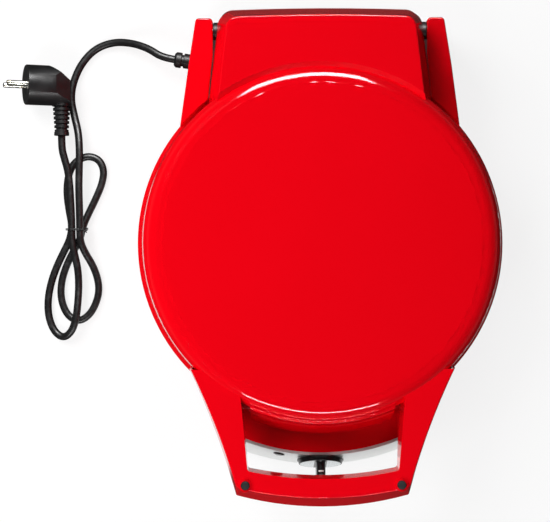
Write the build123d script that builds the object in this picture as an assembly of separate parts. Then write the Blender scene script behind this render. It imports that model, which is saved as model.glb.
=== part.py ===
from build123d import *
import os
from math import asin, cos, degrees, hypot, pi, radians, sin, tan

# Millimetres. Z is up from the table, +Y runs from the handle to the hinge, +X is the user's right.
# Shapes are drawn about the axis of the baking plates and moved by PLATE_Y when they are written,
# so that the origin lies under the middle of the outline.

# Outline
FRONT_REACH = 234.0
REAR_REACH = 215.0
PLATE_Y = (FRONT_REACH - REAR_REACH) / 2
WALL = 2.5
GAP = 0.3
OVER = 1.0
NEAR = 0.01
RUN_SHARE = 0.45

# Fixing screws
SCREW_R = 1.5
SCREW_HEAD_R = 2.6
SCREW_HEAD_H = 1.4
SCREW_BITE = 10.0
THREAD_PLAY = 0.05
SCREW_PLAY = 0.2
WASHER_R = 3.5
WASHER_T = 0.8
WASHER_DROP = 0.8

# Feet and base cover
FOOT_H = 3.0
FOOT_R = 10.0
FOOT_STEM_R = 4.0
COVER_T = 2.4
BASE_FLOOR = FOOT_H + COVER_T
FOOT_CATCH = 1.6
FOOT_FLARE = 1.0
FOOT_EDGE = 0.8
COVER_INSET = 1.5
COVER_RIB_T = 2.0
COVER_RIB_H = 4.0
COVER_RIB_RADII = (75.0, 145.5)
VENT_COUNT = 16
VENT_LENGTH = 30.0
VENT_WIDTH = 4.0
VENT_RING_R = 96.0

# Base bowl
BASE_R = 166.7
BASE_LOW_R = 158.0
BASE_RIM_Z = 50.0
BASE_TOP_Z = 56.4
BASE_EDGE = 2.2
BASE_SHOULDER_IN = 0.5
BASE_SHOULDER_DROP = 6.0
BASE_SHOULDER_ROUND = 8.0
BASE_BEAD_RISE = 2.0
BASE_TOP_IN = 3.4
LEDGE_SLANT = 6.0
LEDGE_Z = 54.6
LEDGE_T = 2.5
LEDGE_IN_R = 153.4
LEDGE_OUT_R = 160.9

# Front console with the sloping control panel
CONSOLE_HALF = 26.0
CONSOLE_TOP_R = 194.3
CONSOLE_TOP_Z = 47.0
CONSOLE_ROOT_R = 150.0
CONSOLE_ROOT_Z = 50.2
CONSOLE_EDGE = 0.8
CONSOLE_BITE = 8.0
PANEL_LEAN = 18.9
PANEL_T = 2.5
PANEL_CUT = 3.0
PANEL_HALF = 24.9
PANEL_PLAY = 0.08
WINDOW_HALF = 23.3
WINDOW_LOW_Z = 12.0
WINDOW_HIGH_Z = 42.0

# Baking plates and their elements
CHAMBER_LOW_Z = 46.5
CHAMBER_TOP_Z = 68.0
PLATE_T = 6.0
UPPER_PLATE_T = 5.0
PLATE_FLOOR_R = 149.0
PLATE_WALL_T = 2.4
PLATE_DRAFT = 3.0
PLATE_FLANGE_T = 2.0
PLATE_BACK_ROUND = 2.0
PLATE_FLOOR_ROUND = 3.0
PLATE_LIP_ROUND = 1.0
PLATE_FLANGE_EDGE = 0.6
UPPER_FLANGE_Z = 57.8
UPPER_FLANGE_R = 158.4
ELEMENT_RING_R = 105.0
ELEMENT_R = 3.5
ELEMENT_ARC = 334.0
ELEMENT_BEND_R = 8.0
ELEMENT_DROP = 13.5
ELEMENT_PIN_R = 1.3
ELEMENT_PIN_L = 6.0
ELEMENT_RIB_HALF = 7.0
ELEMENT_RIB_H = 6.0
GROOVE_PLAY = 0.1
LEG_PLAY = 1.0
REFLECTOR_T = 0.6
REFLECTOR_FLAT_R = 120.0
REFLECTOR_RIM_R = 138.0
REFLECTOR_EDGE_R = 146.0
STUD_R = 2.0
STUD_RING_R = 70.0
STUD_BOSS_R = 6.0
STUD_BOSS_H = 10.5
STUD_HEAD_R = 4.0
STUD_HEAD_H = 2.4
STUD_BITE = 8.0
STUD_COUNT = 4
STUD_BEARING = 45.0

# Lid dome
SEAM = 0.6
LID_SKIRT_Z = BASE_TOP_Z + SEAM
LID_R = 163.4
CROWN_R = 157.3
CROWN_Z = 98.0
DISC_R = 139.6
LID_TOP_Z = 108.0
DISC_STEP = (1.2, 0.5)
SHOULDER_STEP = (4.6, 4.3)
SHOULDER_SHARE = 0.72
SKIRT_SHARE = 0.99

# Rolled lip of the dome inside the handle
LIP_HALF_X = 63.6
LIP_TOP_R = 154.5
LIP_TOP_Z = 103.2
LIP_BEAD_R = 158.6
LIP_BEAD_Z = 100.6
LIP_STEP_R = 163.4
LIP_STEP_Z = 86.0
LIP_STEP = 0.8
LIP_LOW_R = 172.8
LIP_ROOT_R = 130.0
LIP_LOW_ROUND = 0.6
LIP_NECK = (0.5, -1.6, 0.8)
LIP_BEAD_ROUND = 1.2
LIP_GROOVE = (-1.7, -0.4, 0.6)
LIP_TOP_ROUND = 1.5
LIP_SPREAD = 2.0

# Lid feet and the hinge that they set: the lid lies level on them when it is folded flat
LID_FOOT_TOP_Z = 112.0
FOLD_PLAY = 1.0
HINGE_Y = 193.0
HINGE_Z = (LID_FOOT_TOP_Z + FOLD_PLAY) / 2
HINGE_PIN_R = 3.0
PIN_PLAY = 0.06
PIN_PRESS = 0.02
PIN_BITE = 12.0
PIN_END_PLAY = 1.0
KNUCKLE_R = 8.0
KNUCKLE_L = 12.0
NOTCH_PLAY = 0.6

# Rear housing of the lid
HOUSING_LOW_Z = 50.0
HOUSING_TOP_Z = 106.0
HOUSING_FRONT_Y = 118.0
HOUSING_LOW_REAR_HALF = 90.1
HOUSING_LOW_FRONT_HALF = 101.2
HOUSING_TOP_REAR_Y = 199.0
HOUSING_TOP_REAR_HALF = 82.0
HOUSING_TOP_FRONT_HALF = 91.2
HOUSING_BOW = 1.9
HOUSING_CORNER = 13.0
HOUSING_TOP_CORNER = 10.0
HOUSING_EDGE = 1.8
CREASE_R = 154.0
CREASE_TOP_R = 158.4
CREASE_Z = 102.6
RIM_CLEAR_R = 168.5
RIM_CLEAR_Z = LID_SKIRT_Z + 0.5

# Handle
HANDLE_ROOT_Y = -111.0
HANDLE_ROOT_HALF = 118.0
HANDLE_CORNER_HALF = 76.5
HANDLE_CORNER_Y = 10.4 - FRONT_REACH
HANDLE_SAG = 3.0
HANDLE_SAG_FORWARD = 1.0
HANDLE_DRAFT = 2.6
HANDLE_TOP_FRONT = FRONT_REACH - 11.2
HANDLE_TOP_CORNER_HALF = 75.5
HANDLE_TOP_CORNER_Y = 20.0 - FRONT_REACH
HANDLE_TOP_CORNER_R = 7.0
HANDLE_LOW_CORNER_R = 2.0
HANDLE_RAMP_FOOT = (-120.0, 103.5)
HANDLE_RAMP_HEAD = (19.0 - FRONT_REACH, 108.5)
HANDLE_EDGE = 1.6
BAR_LOW_Z = 86.0
UNDERCUT_FOOT_Y = -150.0
UNDERCUT_HEAD_Y = 38.0 - FRONT_REACH
GRIP_REAR_HALF = 72.0
GRIP_FRONT_HALF = 66.0
GRIP_REAR_Y = -135.0
GRIP_FRONT_Y = 35.1 - FRONT_REACH
GRIP_FRONT_MID_Y = 28.0 - FRONT_REACH
GRIP_CORNER = 3.0
LID_FOOT_X = 68.1
LID_FOOT_Y = 22.8 - FRONT_REACH
LID_FOOT_R = 3.8
LID_FOOT_EDGE = 1.0
LID_FOOT_RING_R = 5.75
LID_FOOT_RING_H = 1.1
LID_FOOT_SINK = 2.5
LID_FOOT_PLAY = 0.1
COVER_SEAT = 2.2

# Lid frame
FRAME_IN_R = 154.2
FRAME_RING_T = 3.2
FRAME_WALL_T = 1.7
FRAME_TOP_Z = 66.0
FRAME_REAR_Z = 51.2
FRAME_REAR_T = 2.4
FRAME_RISER_T = 2.0
FRAME_LOBE_PLAY = 3.2
RING_LOW_Z = UPPER_FLANGE_Z + PLATE_FLANGE_T
RING_TOP_Z = RING_LOW_Z + FRAME_RING_T
SCREW_SEAT_Z = RING_LOW_Z + SCREW_PLAY
LID_POST_R = 3.2
LID_POST_RING_R = 157.2
LID_POST_BEARINGS = (0, 28, 90, 152, 180, 208, 270, 332)

# Hinge arms
ARM_TOP_Z = 71.0
ARM_REAR_Y = 202.7
ARM_INNER_HALF = 96.5
ARM_OUTER_REAR_HALF = 111.7
ARM_OUTER_FRONT_HALF = 129.5
ARM_OUTER_FRONT_Y = 89.0
ARM_SPLAY = (ARM_OUTER_FRONT_HALF - ARM_OUTER_REAR_HALF) / (ARM_REAR_Y - ARM_OUTER_FRONT_Y)
ARM_STRAIGHT_Y = 170.0
ARM_FLARE_HALF = 101.2
ARM_FLARE_Y = 130.0
ARM_CORNER = 3.5
ARM_DRAFT = 2.0
ARM_SLOPE_TOP_Y = 160.0
ARM_SLOPE_FOOT = (100.0, 57.0)
ARM_SLOPE_NOSE = 3.0
ARM_EDGE = 1.8
ARM_SKIRT_CLEAR = 3.1
ARM_SCREW_BEARING = 46.0
ARM_SCREW_HEIGHTS = (17.0, 44.0)
ARM_BOSS_R = 4.5
ARM_BOSS_L = 16.0
ARM_DRILL = (-16.0, 6.5)
LEAD_HOLE_R = 5.5
LEAD_HOLE_Z = 30.0
LEAD_HOLE_REACH = (-20.0, 6.0)

# Knob and thermostat, in a frame that sits on the panel with z along the shaft
KNOB_Z = 30.0
KNOB_LIFT = 0.6
KNOB_FLANGE_R = 21.65
KNOB_FLANGE_T = 1.2
KNOB_R = 20.6
KNOB_FACE_R = 20.0
KNOB_FACE_Z = 4.8
KNOB_EDGE = 0.6
KNOB_STEP = 0.5
KNOB_FLANGE_EDGE = 0.4
GRIP_BAR_W = 8.3
GRIP_BAR_L = 37.0
GRIP_BAR_Z = 17.6
GRIP_EDGE = 1.2
GRIP_FLARE = 1.6
INLAY_R = 19.0
INLAY_T = 0.8
INLAY_PROUD = 0.1
INLAY_PLAY = 0.06
INLAY_MARGIN = 1.4
POINTER_W = 4.6
POINTER_L = 1.4
POINTER_T = 1.2
POINTER_Z = 14.5
SHAFT_R = 3.0
SHAFT_BITE = 8.0
SHAFT_FLAT_SHARE = 0.6
SHAFT_FLAT_FOOT = 0.5
SHAFT_END_PLAY = 0.5
BUSHING_R = 4.4
BUSHING_SINK = 0.4
PANEL_BOSS_R = 8.0
PANEL_BOSS_T = 5.0
THERMOSTAT_R = 12.5
THERMOSTAT_L = 15.0
THERMOSTAT_PLATE = (34.0, 24.0, 1.2)
TAB = (6.3, 0.8, 7.0)
TAB_ROOT = 0.5

# Indicator
LENS_X = -38.4
LENS_Z = 36.0
LENS_R = 5.25
LENS_STEM_R = 4.6
LENS_STEM_L = 3.0
LENS_SEAT_Z = 0.1
LENS_RIM_Z = 0.5
LENS_RIM_W = 1.6
LENS_DOME = 1.1
LENS_CROWN = 0.2
LENS_FLOOR_Z = -1.2
LENS_PLAY = 0.15
LENS_DRILL = (-8.0, 4.0)
LAMP_R = 2.6
LAMP_PLAY = 0.5
LAMP_TIP_Z = -2.2
LAMP_ROUND_SHARE = 0.8
LAMP_HOLDER_R = 4.4
LAMP_HOLDER_L = 5.0
LAMP_LEAD_R = 0.5
LAMP_LEAD_L = 6.0
LAMP_LEAD_OFFSET = 1.5

# Base screws and inner parts
BASE_POST_R = 4.0
BASE_POST_WEB = (8.0, 2.0)
BASE_POST_RING_R = 153.5
BASE_POST_TOP_Z = 24.0
BASE_POST_BEARINGS = (5, 75, 105, 175, 225, 315)
FOOT_SPOTS = ((-60.0, -178.0), (60.0, -178.0), (-88.0, 108.0), (88.0, 108.0))
BLOCK_AT = (-92.0, 62.0)
BLOCK_SIZE = (30.0, 18.0, 14.0)
BLOCK_PITCH = 9.1
BLOCK_WELL = 4.0
BLOCK_EDGE = 1.5
BLOCK_SCREW_R = 2.2
BLOCK_SCREW_SLOT = 0.8
FUSE_AT = (0.0, 60.0)
FUSE_R = 2.0
FUSE_L = 11.0
FUSE_LEAD_R = 0.5
FUSE_LEAD_L = 27.0
WIRE_R = 1.3
WIRE_Z = 14.0
WIRE_STRAIGHTS = (20.0, 16.0, 12.0)
WIRE_ROUTES = (
    ((-106.0, -40.0), (-70.0, -110.0), (-30.0, -150.0), (-14.0, -158.0)),
    ((-70.0, 0.0), (-50.0, -90.0), (-20.0, -140.0), (-2.0, -156.0)),
    ((-50.0, 40.0), (-28.0, 76.0)))

# Mains lead
CORD_R = 3.5
CORD_LEAD_OUT = 12.0
INNER_LEAD_OUT = 8.0
INNER_LEAD_RUN = 17.0
SELF_GAP_STEP = 1.5
SELF_GAP_SKIP = 4
GLAND_Y = 170.0
GLAND_Z = 25.0
GLAND_R = 6.9
GLAND_NECK_R = 5.4
GLAND_L = 16.2
GLAND_BASE_Z = (7.4, 7.6)
GLAND_COLLAR_Z = (9.4, 9.6, 14.4)
GLAND_COLLAR_RISE = 0.3
GLAND_EDGE = 0.5
GLAND_SLOT_Z = 3.7
GLAND_SLOT_W = 2.2
GLAND_SLOT_H = 3.0
GLAND_STEM_R = 5.0
GLAND_PLAY = 0.1
GLAND_CATCH_R = 6.2
GLAND_CATCH_T = 3.0
TIE_HEIGHTS = (4.8, 12.4)
TIE_SIDES = (-238.0, -219.0)
TIE_PLAY = 0.25
TIE_T = 1.0
TIE_W = 4.0
TIE_END_R = 1.3
TIE_END_L = 15.0
TIE_END_OFF = 1.0
TIE_END_TURN = (0.0, 78.0, 12.0)

# Plug, in a frame with z along its pins and x along its cable exit
PLUG_FACE_X = -273.6
PLUG_Y = 149.7
PLUG_R = 18.75
PLUG_TILT = 21.0
PLUG_DEPTH = 21.0
PLUG_EDGE = 1.0
PLUG_BACK_Z = -40.0
PLUG_BACK_X = -4.4
PLUG_BARREL_R = 7.6
PLUG_PIN_R = 2.4
PLUG_PIN_L = 19.0
PLUG_PIN_TIP = 1.4
PLUG_PIN_ROOT = 6.0
PLUG_PIN_PITCH = 19.0
PLUG_CONTACT = (1.4, 4.8, 12.4)
PLUG_CONTACT_R = 17.4
PLUG_PLAY = 0.2
BOOT_Z = -34.0
BOOT_START = 19.0
BOOT_END = 46.5
BOOT_R = 8.2
BOOT_END_R = 6.4
BOOT_COLLAR = 0.6
BOOT_COLLAR_L = 4.0
BOOT_END_L = 3.0
BOOT_RIBS = 6
BOOT_GROOVE = 1.3
BOOT_GROOVE_SHARE = 0.35
BOOT_RIB_SHARE = 0.45

# Route of the lead about the plate axis, from beside the gland to the tie
LEAD_ROUTE = [
    (-158.4, 183.3, 21.5), (-174.5, 189.8, 14.0), (-193.0, 192.4, 6.0), (-211.0, 186.6, 3.5),
    (-224.4, 172.4, 3.5), (-232.4, 154.6, 3.5), (-234.6, 138.5, 3.5), (-231.4, 123.0, 3.8),
    (-227.0, 107.0, 7.6), (-225.4, 91.0, 11.4), (-225.7, 73.0, 11.8), (-226.1, 53.0, 12.4),
    (-225.5, 33.0, 12.4), (-225.2, 15.0, 12.4)]

# Route of the bundled loops, from the tie's first strand round to its last
LOOPS_ROUTE = [
    (-225.2, 15.0, 12.4), (-225.0, 3.0, 12.4), (-220.6, -8.0, 8.5), (-214.4, -19.0, 4.5),
    (-209.8, -31.5, 3.5), (-208.4, -43.5, 3.5), (-211.4, -55.5, 3.5), (-217.6, -66.5, 3.5),
    (-227.2, -72.6, 3.5), (-237.0, -68.4, 3.5), (-242.8, -58.4, 3.5), (-245.2, -46.0, 3.5),
    (-243.6, -31.5, 3.5), (-238.4, -17.0, 3.5), (-231.6, -4.0, 3.6), (-226.0, 6.0, 4.6),
    (-223.4, 18.0, 4.7), (-218.4, 29.5, 3.6), (-211.2, 44.0, 3.5), (-205.2, 58.0, 3.5),
    (-203.2, 70.5, 3.5), (-207.4, 80.5, 3.5), (-216.2, 84.4, 3.5), (-225.4, 82.6, 3.5),
    (-233.4, 76.0, 3.5), (-237.8, 64.0, 3.5), (-238.8, 49.0, 3.5), (-236.6, 33.0, 4.2),
    (-233.6, 18.0, 4.8), (-235.8, 5.0, 4.8), (-242.6, -8.0, 3.8), (-249.6, -22.5, 3.5),
    (-254.8, -38.0, 3.5), (-257.4, -54.0, 3.5), (-256.4, -69.5, 3.5), (-251.0, -82.5, 3.5),
    (-242.2, -88.4, 5.4), (-233.6, -82.0, 9.6), (-229.2, -69.5, 11.9), (-227.6, -55.0, 10.7),
    (-227.0, -38.0, 7.8), (-227.8, -22.0, 8.8), (-230.8, -7.0, 12.0), (-232.7, 3.0, 12.4),
    (-232.9, 15.0, 12.4)]

# Route from the tie's last strand to the plug's boot
TAIL_ROUTE = [
    (-232.9, 15.0, 12.4), (-233.1, 27.0, 12.4), (-233.8, 41.0, 12.2), (-234.6, 56.0, 12.0),
    (-236.4, 71.0, 12.2), (-239.6, 82.0, 12.8)]


def profile(*corners):
    """Closed face through (x, y) corners, where a corner's third value is its rounding radius."""
    face = make_face(Polyline(*[corner[:2] for corner in corners], close=True))
    for corner in corners:
        if len(corner) > 2:
            face = fillet(face.vertices().sort_by_distance(corner[:2])[0], corner[2])
    return face


def turned(face, arc=360.0, start=0.0):
    """Turn a face of (radius, height) about the plate axis, from a first bearing."""
    return Rot(0, 0, start) * revolve(Plane.XZ * face, Axis.Z, arc)


def front_sector(face, half_arc):
    """Turn a face of (radius, height) through half_arc degrees either side of the front."""
    return turned(face, 2 * half_arc, -90 - half_arc)


def across(face, half_width):
    """Run a face of (y, z) across the object, half_width either way."""
    return extrude(Plane.YZ * face, half_width, both=True)


def ring(inner_r, outer_r, low_z, high_z):
    """Plain ring about the plate axis."""
    return turned(profile((inner_r, low_z), (outer_r, low_z), (outer_r, high_z), (inner_r, high_z)))


def rod(radius, low_z, high_z):
    """Upright cylinder between two heights."""
    return Pos(0, 0, (low_z + high_z) / 2) * Cylinder(radius, high_z - low_z)


def on_ring(radius, bearing, z=0.0):
    """Place on a circle about the plate axis, with x pointing outwards."""
    return Rot(0, 0, bearing) * Pos(radius, 0, z)


def radial_rod(radius, inner_r, outer_r, bearing, z):
    """Cylinder that lies along a radius of the plates."""
    return on_ring((inner_r + outer_r) / 2, bearing, z) * Rot(0, 90, 0) * Cylinder(radius, outer_r - inner_r)


def joined(shapes):
    """Fuse a list of shapes."""
    whole = shapes[0]
    for shape in shapes[1:]:
        whole = whole + shape
    return whole


def tube(points, radius):
    """Round tube along straight runs joined by arcs as large as the runs allow."""
    spots = [Vector(*point) for point in points]
    radii = []
    for before, here, after in zip(spots, spots[1:], spots[2:]):
        turn = radians((here - before).get_angle(after - here))
        shorter = min((here - before).length, (after - here).length)
        radii.append(RUN_SHARE * shorter / tan(turn / 2))
    path = FilletPolyline(*spots, radius=radii)
    section = Plane(origin=path @ 0, z_dir=path % 0) * Circle(radius)
    return sweep(section, path), path, radii


# Base

def bowl(grow=0.0, top_z=BASE_TOP_Z):
    """Outer form of the base bowl as a solid."""
    return turned(profile(
        (0, BASE_FLOOR), (BASE_LOW_R + grow, BASE_FLOOR),
        (BASE_R - BASE_SHOULDER_IN + grow, BASE_RIM_Z - BASE_SHOULDER_DROP, BASE_SHOULDER_ROUND),
        (BASE_R + grow, BASE_RIM_Z + BASE_BEAD_RISE, BASE_EDGE),
        (BASE_R - BASE_TOP_IN + grow, top_z, BASE_EDGE), (0, top_z)))


def bowl_inner_radius(z):
    """Inner radius of the bowl's wall at a height."""
    share = (z - BASE_FLOOR) / (BASE_RIM_Z - BASE_FLOOR)
    return BASE_LOW_R + share * (BASE_R - BASE_LOW_R) - WALL


PANEL_SLOPE = tan(radians(PANEL_LEAN))


def cone_radius(z):
    """Radius of the control panel's outer face at a height."""
    return CONSOLE_TOP_R + (CONSOLE_TOP_Z - z) * PANEL_SLOPE


def cone_strip(outer_offset, inner_offset, low_z, high_z):
    """Strip of the panel's cone between two depths behind its outer face."""
    stretch = 1 / cos(radians(PANEL_LEAN))
    outer = outer_offset * stretch
    inner = inner_offset * stretch
    return profile(
        (cone_radius(low_z) - outer, low_z), (cone_radius(high_z) - outer, high_z),
        (cone_radius(high_z) - inner, high_z), (cone_radius(low_z) - inner, low_z))


def console():
    """Console's outer form with the recess for the panel cut out."""
    outer = front_sector(profile(
        (CONSOLE_ROOT_R, BASE_FLOOR), (cone_radius(BASE_FLOOR), BASE_FLOOR),
        (CONSOLE_TOP_R, CONSOLE_TOP_Z, CONSOLE_EDGE), (CONSOLE_ROOT_R, CONSOLE_ROOT_Z)), CONSOLE_HALF)
    recess = front_sector(
        cone_strip(-PANEL_CUT, PANEL_T, BASE_FLOOR - OVER, CONSOLE_TOP_Z + PANEL_CUT), PANEL_HALF)
    return outer - recess


def console_cavity():
    """Room inside the console, open towards the bowl, with the window behind the panel."""
    roof_drop = (CONSOLE_ROOT_Z - CONSOLE_TOP_Z) / (CONSOLE_TOP_R - CONSOLE_ROOT_R)
    low_z = BASE_FLOOR - OVER
    back = (PANEL_T + WALL) / cos(radians(PANEL_LEAN))
    front_r = CONSOLE_TOP_R - back
    roof_z = CONSOLE_ROOT_Z - WALL - (front_r - CONSOLE_ROOT_R) * roof_drop
    room = front_sector(profile(
        (CONSOLE_ROOT_R - CONSOLE_BITE, low_z), (cone_radius(low_z) - back, low_z),
        (cone_radius(roof_z) - back, roof_z), (CONSOLE_ROOT_R - CONSOLE_BITE, CONSOLE_ROOT_Z - WALL)),
        CONSOLE_HALF - degrees(WALL / CONSOLE_TOP_R))
    window_depth = PANEL_T + WALL + 2 * OVER
    window = front_sector(cone_strip(0, window_depth, WINDOW_LOW_Z, WINDOW_HIGH_Z), WINDOW_HALF)
    return room + window


def bowl_cavity():
    """Room inside the bowl with the stepped seat of the lower plate."""
    low_z = BASE_FLOOR - OVER
    roof_z = LEDGE_Z - LEDGE_T
    slant_z = roof_z - LEDGE_SLANT
    return turned(profile(
        (0, low_z), (bowl_inner_radius(low_z), low_z), (bowl_inner_radius(slant_z), slant_z),
        (LEDGE_OUT_R, roof_z), (LEDGE_IN_R, roof_z), (LEDGE_IN_R, LEDGE_Z), (LEDGE_OUT_R, LEDGE_Z),
        (LEDGE_OUT_R, BASE_TOP_Z + OVER), (0, BASE_TOP_Z + OVER)))


def base_posts():
    """Screw posts of the cover, each tied to the wall by a web."""
    posts = []
    for bearing in BASE_POST_BEARINGS:
        posts.append(on_ring(BASE_POST_RING_R, bearing) * rod(BASE_POST_R, BASE_FLOOR, BASE_POST_TOP_Z))
        web_l, web_t = BASE_POST_WEB
        web_z = (BASE_FLOOR + BASE_POST_TOP_Z) / 2
        web = Box(web_l, web_t, BASE_POST_TOP_Z - BASE_FLOOR)
        posts.append(on_ring(BASE_POST_RING_R + web_l / 2, bearing, web_z) * web)
    return joined(posts) & bowl()


def arm_bearings():
    """Bearings of the fixings in the left and right arms."""
    return 180 - ARM_SCREW_BEARING, ARM_SCREW_BEARING


def wall_drill(radius, bearing, z):
    """Cutter along a radius, through the bowl's wall and into the arm's boss beside it."""
    inner, outer = ARM_DRILL
    return radial_rod(radius, BASE_R + inner, BASE_R + outer, bearing, z)


def lead_drill():
    """Cutter along a radius for the lead, through the bowl's wall and the left arm's inner wall."""
    return radial_rod(LEAD_HOLE_R, BASE_R + ARM_DRILL[0], BASE_R + OVER, arm_bearings()[0], LEAD_HOLE_Z)


def make_base_shell():
    shell = (bowl() + console()) - bowl_cavity() - console_cavity() + base_posts()
    thread = rod(SCREW_R + THREAD_PLAY, BASE_FLOOR - OVER, BASE_FLOOR + SCREW_BITE + OVER)
    for bearing in BASE_POST_BEARINGS:
        shell -= on_ring(BASE_POST_RING_R, bearing) * thread
    for bearing in arm_bearings():
        for z in ARM_SCREW_HEIGHTS:
            shell -= wall_drill(SCREW_R + SCREW_PLAY, bearing, z)
    return shell - lead_drill()


def arm_plan(inset=0.0, spread=0.0):
    """Plan of the right arm: straight beside the hinge, flared where the housing widens."""
    across_wall = inset * hypot(1, ARM_SPLAY)
    outer_rear = ARM_OUTER_REAR_HALF + spread + inset * ARM_SPLAY - across_wall
    outer_front = ARM_OUTER_FRONT_HALF + spread - across_wall
    corner = ARM_CORNER - inset
    return profile(
        (ARM_INNER_HALF + inset, ARM_REAR_Y - inset, corner), (outer_rear, ARM_REAR_Y - inset, corner),
        (outer_front, ARM_OUTER_FRONT_Y), (ARM_FLARE_HALF + inset, ARM_OUTER_FRONT_Y),
        (ARM_FLARE_HALF + inset, ARM_FLARE_Y), (ARM_INNER_HALF + inset, ARM_STRAIGHT_Y))


def arm_block(inset=0.0):
    """Right arm as a solid, with its top falling away towards the bowl."""
    low_z = BASE_FLOOR - (OVER if inset else 0)
    block = loft([
        (Pos(0, 0, low_z) * arm_plan(inset, ARM_DRAFT)).face(),
        (Pos(0, 0, ARM_TOP_Z - inset) * arm_plan(inset)).face()], ruled=True)
    foot_y, foot_z = ARM_SLOPE_FOOT
    front_y = ARM_OUTER_FRONT_Y - OVER
    slope = profile(
        (ARM_SLOPE_TOP_Y, ARM_TOP_Z - inset), (foot_y, foot_z - inset),
        (front_y, foot_z - ARM_SLOPE_NOSE - inset), (front_y, ARM_TOP_Z + OVER),
        (ARM_SLOPE_TOP_Y, ARM_TOP_Z + OVER))
    return block - across(slope, BASE_R)


def hinge_rod(radius, length, x=0.0):
    """Cylinder about the hinge's axis, centred at a distance from the middle of the object."""
    return Pos(x, HINGE_Y, HINGE_Z) * Rot(0, 90, 0) * Cylinder(radius, length)


def make_right_arm():
    outer = arm_block()
    top_faces = outer.faces().filter_by(lambda face: face.normal_at().Z > 0.9)
    rim = [edge for face in top_faces for edge in face.edges()
           if edge.center().Y > ARM_REAR_Y - OVER
           or edge.center().Y > ARM_SLOPE_FOOT[0] and abs(edge.tangent_at(0.5).X) < 0.95]
    outer = fillet(rim, ARM_EDGE)
    bearing = arm_bearings()[1]
    hollow = arm_block(WALL) - bowl(GAP + WALL, ARM_TOP_Z)
    bosses = [radial_rod(ARM_BOSS_R, BASE_R - ARM_BOSS_L / 2, BASE_R + ARM_BOSS_L / 2, bearing, z)
              for z in ARM_SCREW_HEIGHTS]
    bosses.append(hinge_rod(KNUCKLE_R, PIN_BITE + WALL, ARM_INNER_HALF + (PIN_BITE + WALL) / 2))
    arm = outer - hollow + (joined(bosses) & outer)
    arm -= bowl(GAP)
    arm -= turned(profile(
        (0, BASE_TOP_Z - OVER), (LID_R + ARM_SKIRT_CLEAR, BASE_TOP_Z - OVER),
        (skirt_radius(ARM_TOP_Z + OVER) + ARM_SKIRT_CLEAR, ARM_TOP_Z + OVER), (0, ARM_TOP_Z + OVER)))
    for z in ARM_SCREW_HEIGHTS:
        arm -= wall_drill(SCREW_R + THREAD_PLAY, bearing, z)
    return arm - hinge_rod(HINGE_PIN_R + PIN_PRESS, 2 * PIN_BITE, ARM_INNER_HALF)


def gland_frame():
    """Frame on the left arm's outer wall with z along the wall's outward normal."""
    rise = ARM_DRAFT / (ARM_TOP_Z - BASE_FLOOR)
    wall_x = ARM_OUTER_REAR_HALF + ARM_SPLAY * (ARM_REAR_Y - GLAND_Y) + rise * (ARM_TOP_Z - GLAND_Z)
    return Plane(origin=(-wall_x, GLAND_Y, GLAND_Z), x_dir=(rise, 0, 1), z_dir=(-1, ARM_SPLAY, rise))


def make_left_arm(right_arm):
    arm = mirror(right_arm, Plane.YZ)
    arm -= gland_frame().location * rod(GLAND_STEM_R + GLAND_PLAY, -WALL - OVER, OVER)
    return arm - lead_drill()


def make_arm_screws():
    screws = []
    for bearing in arm_bearings():
        for z in ARM_SCREW_HEIGHTS:
            washer_r = bowl_inner_radius(z) - WASHER_DROP
            head_r = washer_r - WASHER_T
            screw = radial_rod(SCREW_HEAD_R, head_r - SCREW_HEAD_H, head_r, bearing, z)
            screw += radial_rod(WASHER_R, head_r, washer_r, bearing, z)
            screw += radial_rod(SCREW_R, head_r, BASE_R + ARM_DRILL[1] - OVER, bearing, z)
            screws.append(screw)
    return Compound(children=screws)


def make_base_cover():
    """Flat cover under the bowl, the console and both arms, with rings of ribs and vents."""
    low_z, high_z = FOOT_H, BASE_FLOOR
    front_r = cone_radius(BASE_FLOOR) - COVER_INSET
    plate = rod(BASE_LOW_R - COVER_INSET, low_z, high_z)
    plate += front_sector(
        profile((0, low_z), (front_r, low_z), (front_r, high_z), (0, high_z)),
        CONSOLE_HALF - degrees(COVER_INSET / CONSOLE_TOP_R))
    low_arm = arm_plan(COVER_INSET, ARM_DRAFT)
    for plan in (low_arm, mirror(low_arm, Plane.YZ)):
        plate += Pos(0, 0, low_z) * extrude(plan, COVER_T, dir=(0, 0, 1))
    for radius in COVER_RIB_RADII:
        plate += ring(radius, radius + COVER_RIB_T, high_z - OVER, high_z + COVER_RIB_H)
    slot = extrude(SlotOverall(VENT_LENGTH, VENT_WIDTH), high_z + COVER_RIB_H)
    for index in range(VENT_COUNT):
        plate -= on_ring(VENT_RING_R, (index + 0.5) * 360 / VENT_COUNT) * slot
    for x, y in FOOT_SPOTS:
        plate -= Pos(x, y, 0) * rod(FOOT_STEM_R + SCREW_PLAY, low_z - OVER, high_z + OVER)
    for bearing in BASE_POST_BEARINGS:
        plate -= on_ring(BASE_POST_RING_R, bearing) * rod(SCREW_R + SCREW_PLAY, low_z - OVER, high_z + OVER)
    return plate


def make_base_feet():
    """Rubber feet whose stems pass through the cover and end in a wider catch."""
    catch_r = FOOT_STEM_R + FOOT_CATCH
    top_z = BASE_FLOOR + FOOT_CATCH
    foot = turned(profile(
        (0, 0), (FOOT_R - FOOT_FLARE, 0, FOOT_EDGE), (FOOT_R, FOOT_H), (FOOT_STEM_R, FOOT_H),
        (FOOT_STEM_R, BASE_FLOOR), (catch_r, BASE_FLOOR), (FOOT_STEM_R, top_z), (0, top_z)))
    return Compound(children=[Pos(x, y, 0) * foot for x, y in FOOT_SPOTS])


def make_base_screws():
    screw = rod(SCREW_HEAD_R, FOOT_H - SCREW_HEAD_H, FOOT_H) + rod(SCREW_R, FOOT_H, BASE_FLOOR + SCREW_BITE)
    return Compound(children=[on_ring(BASE_POST_RING_R, bearing) * screw for bearing in BASE_POST_BEARINGS])


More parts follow.
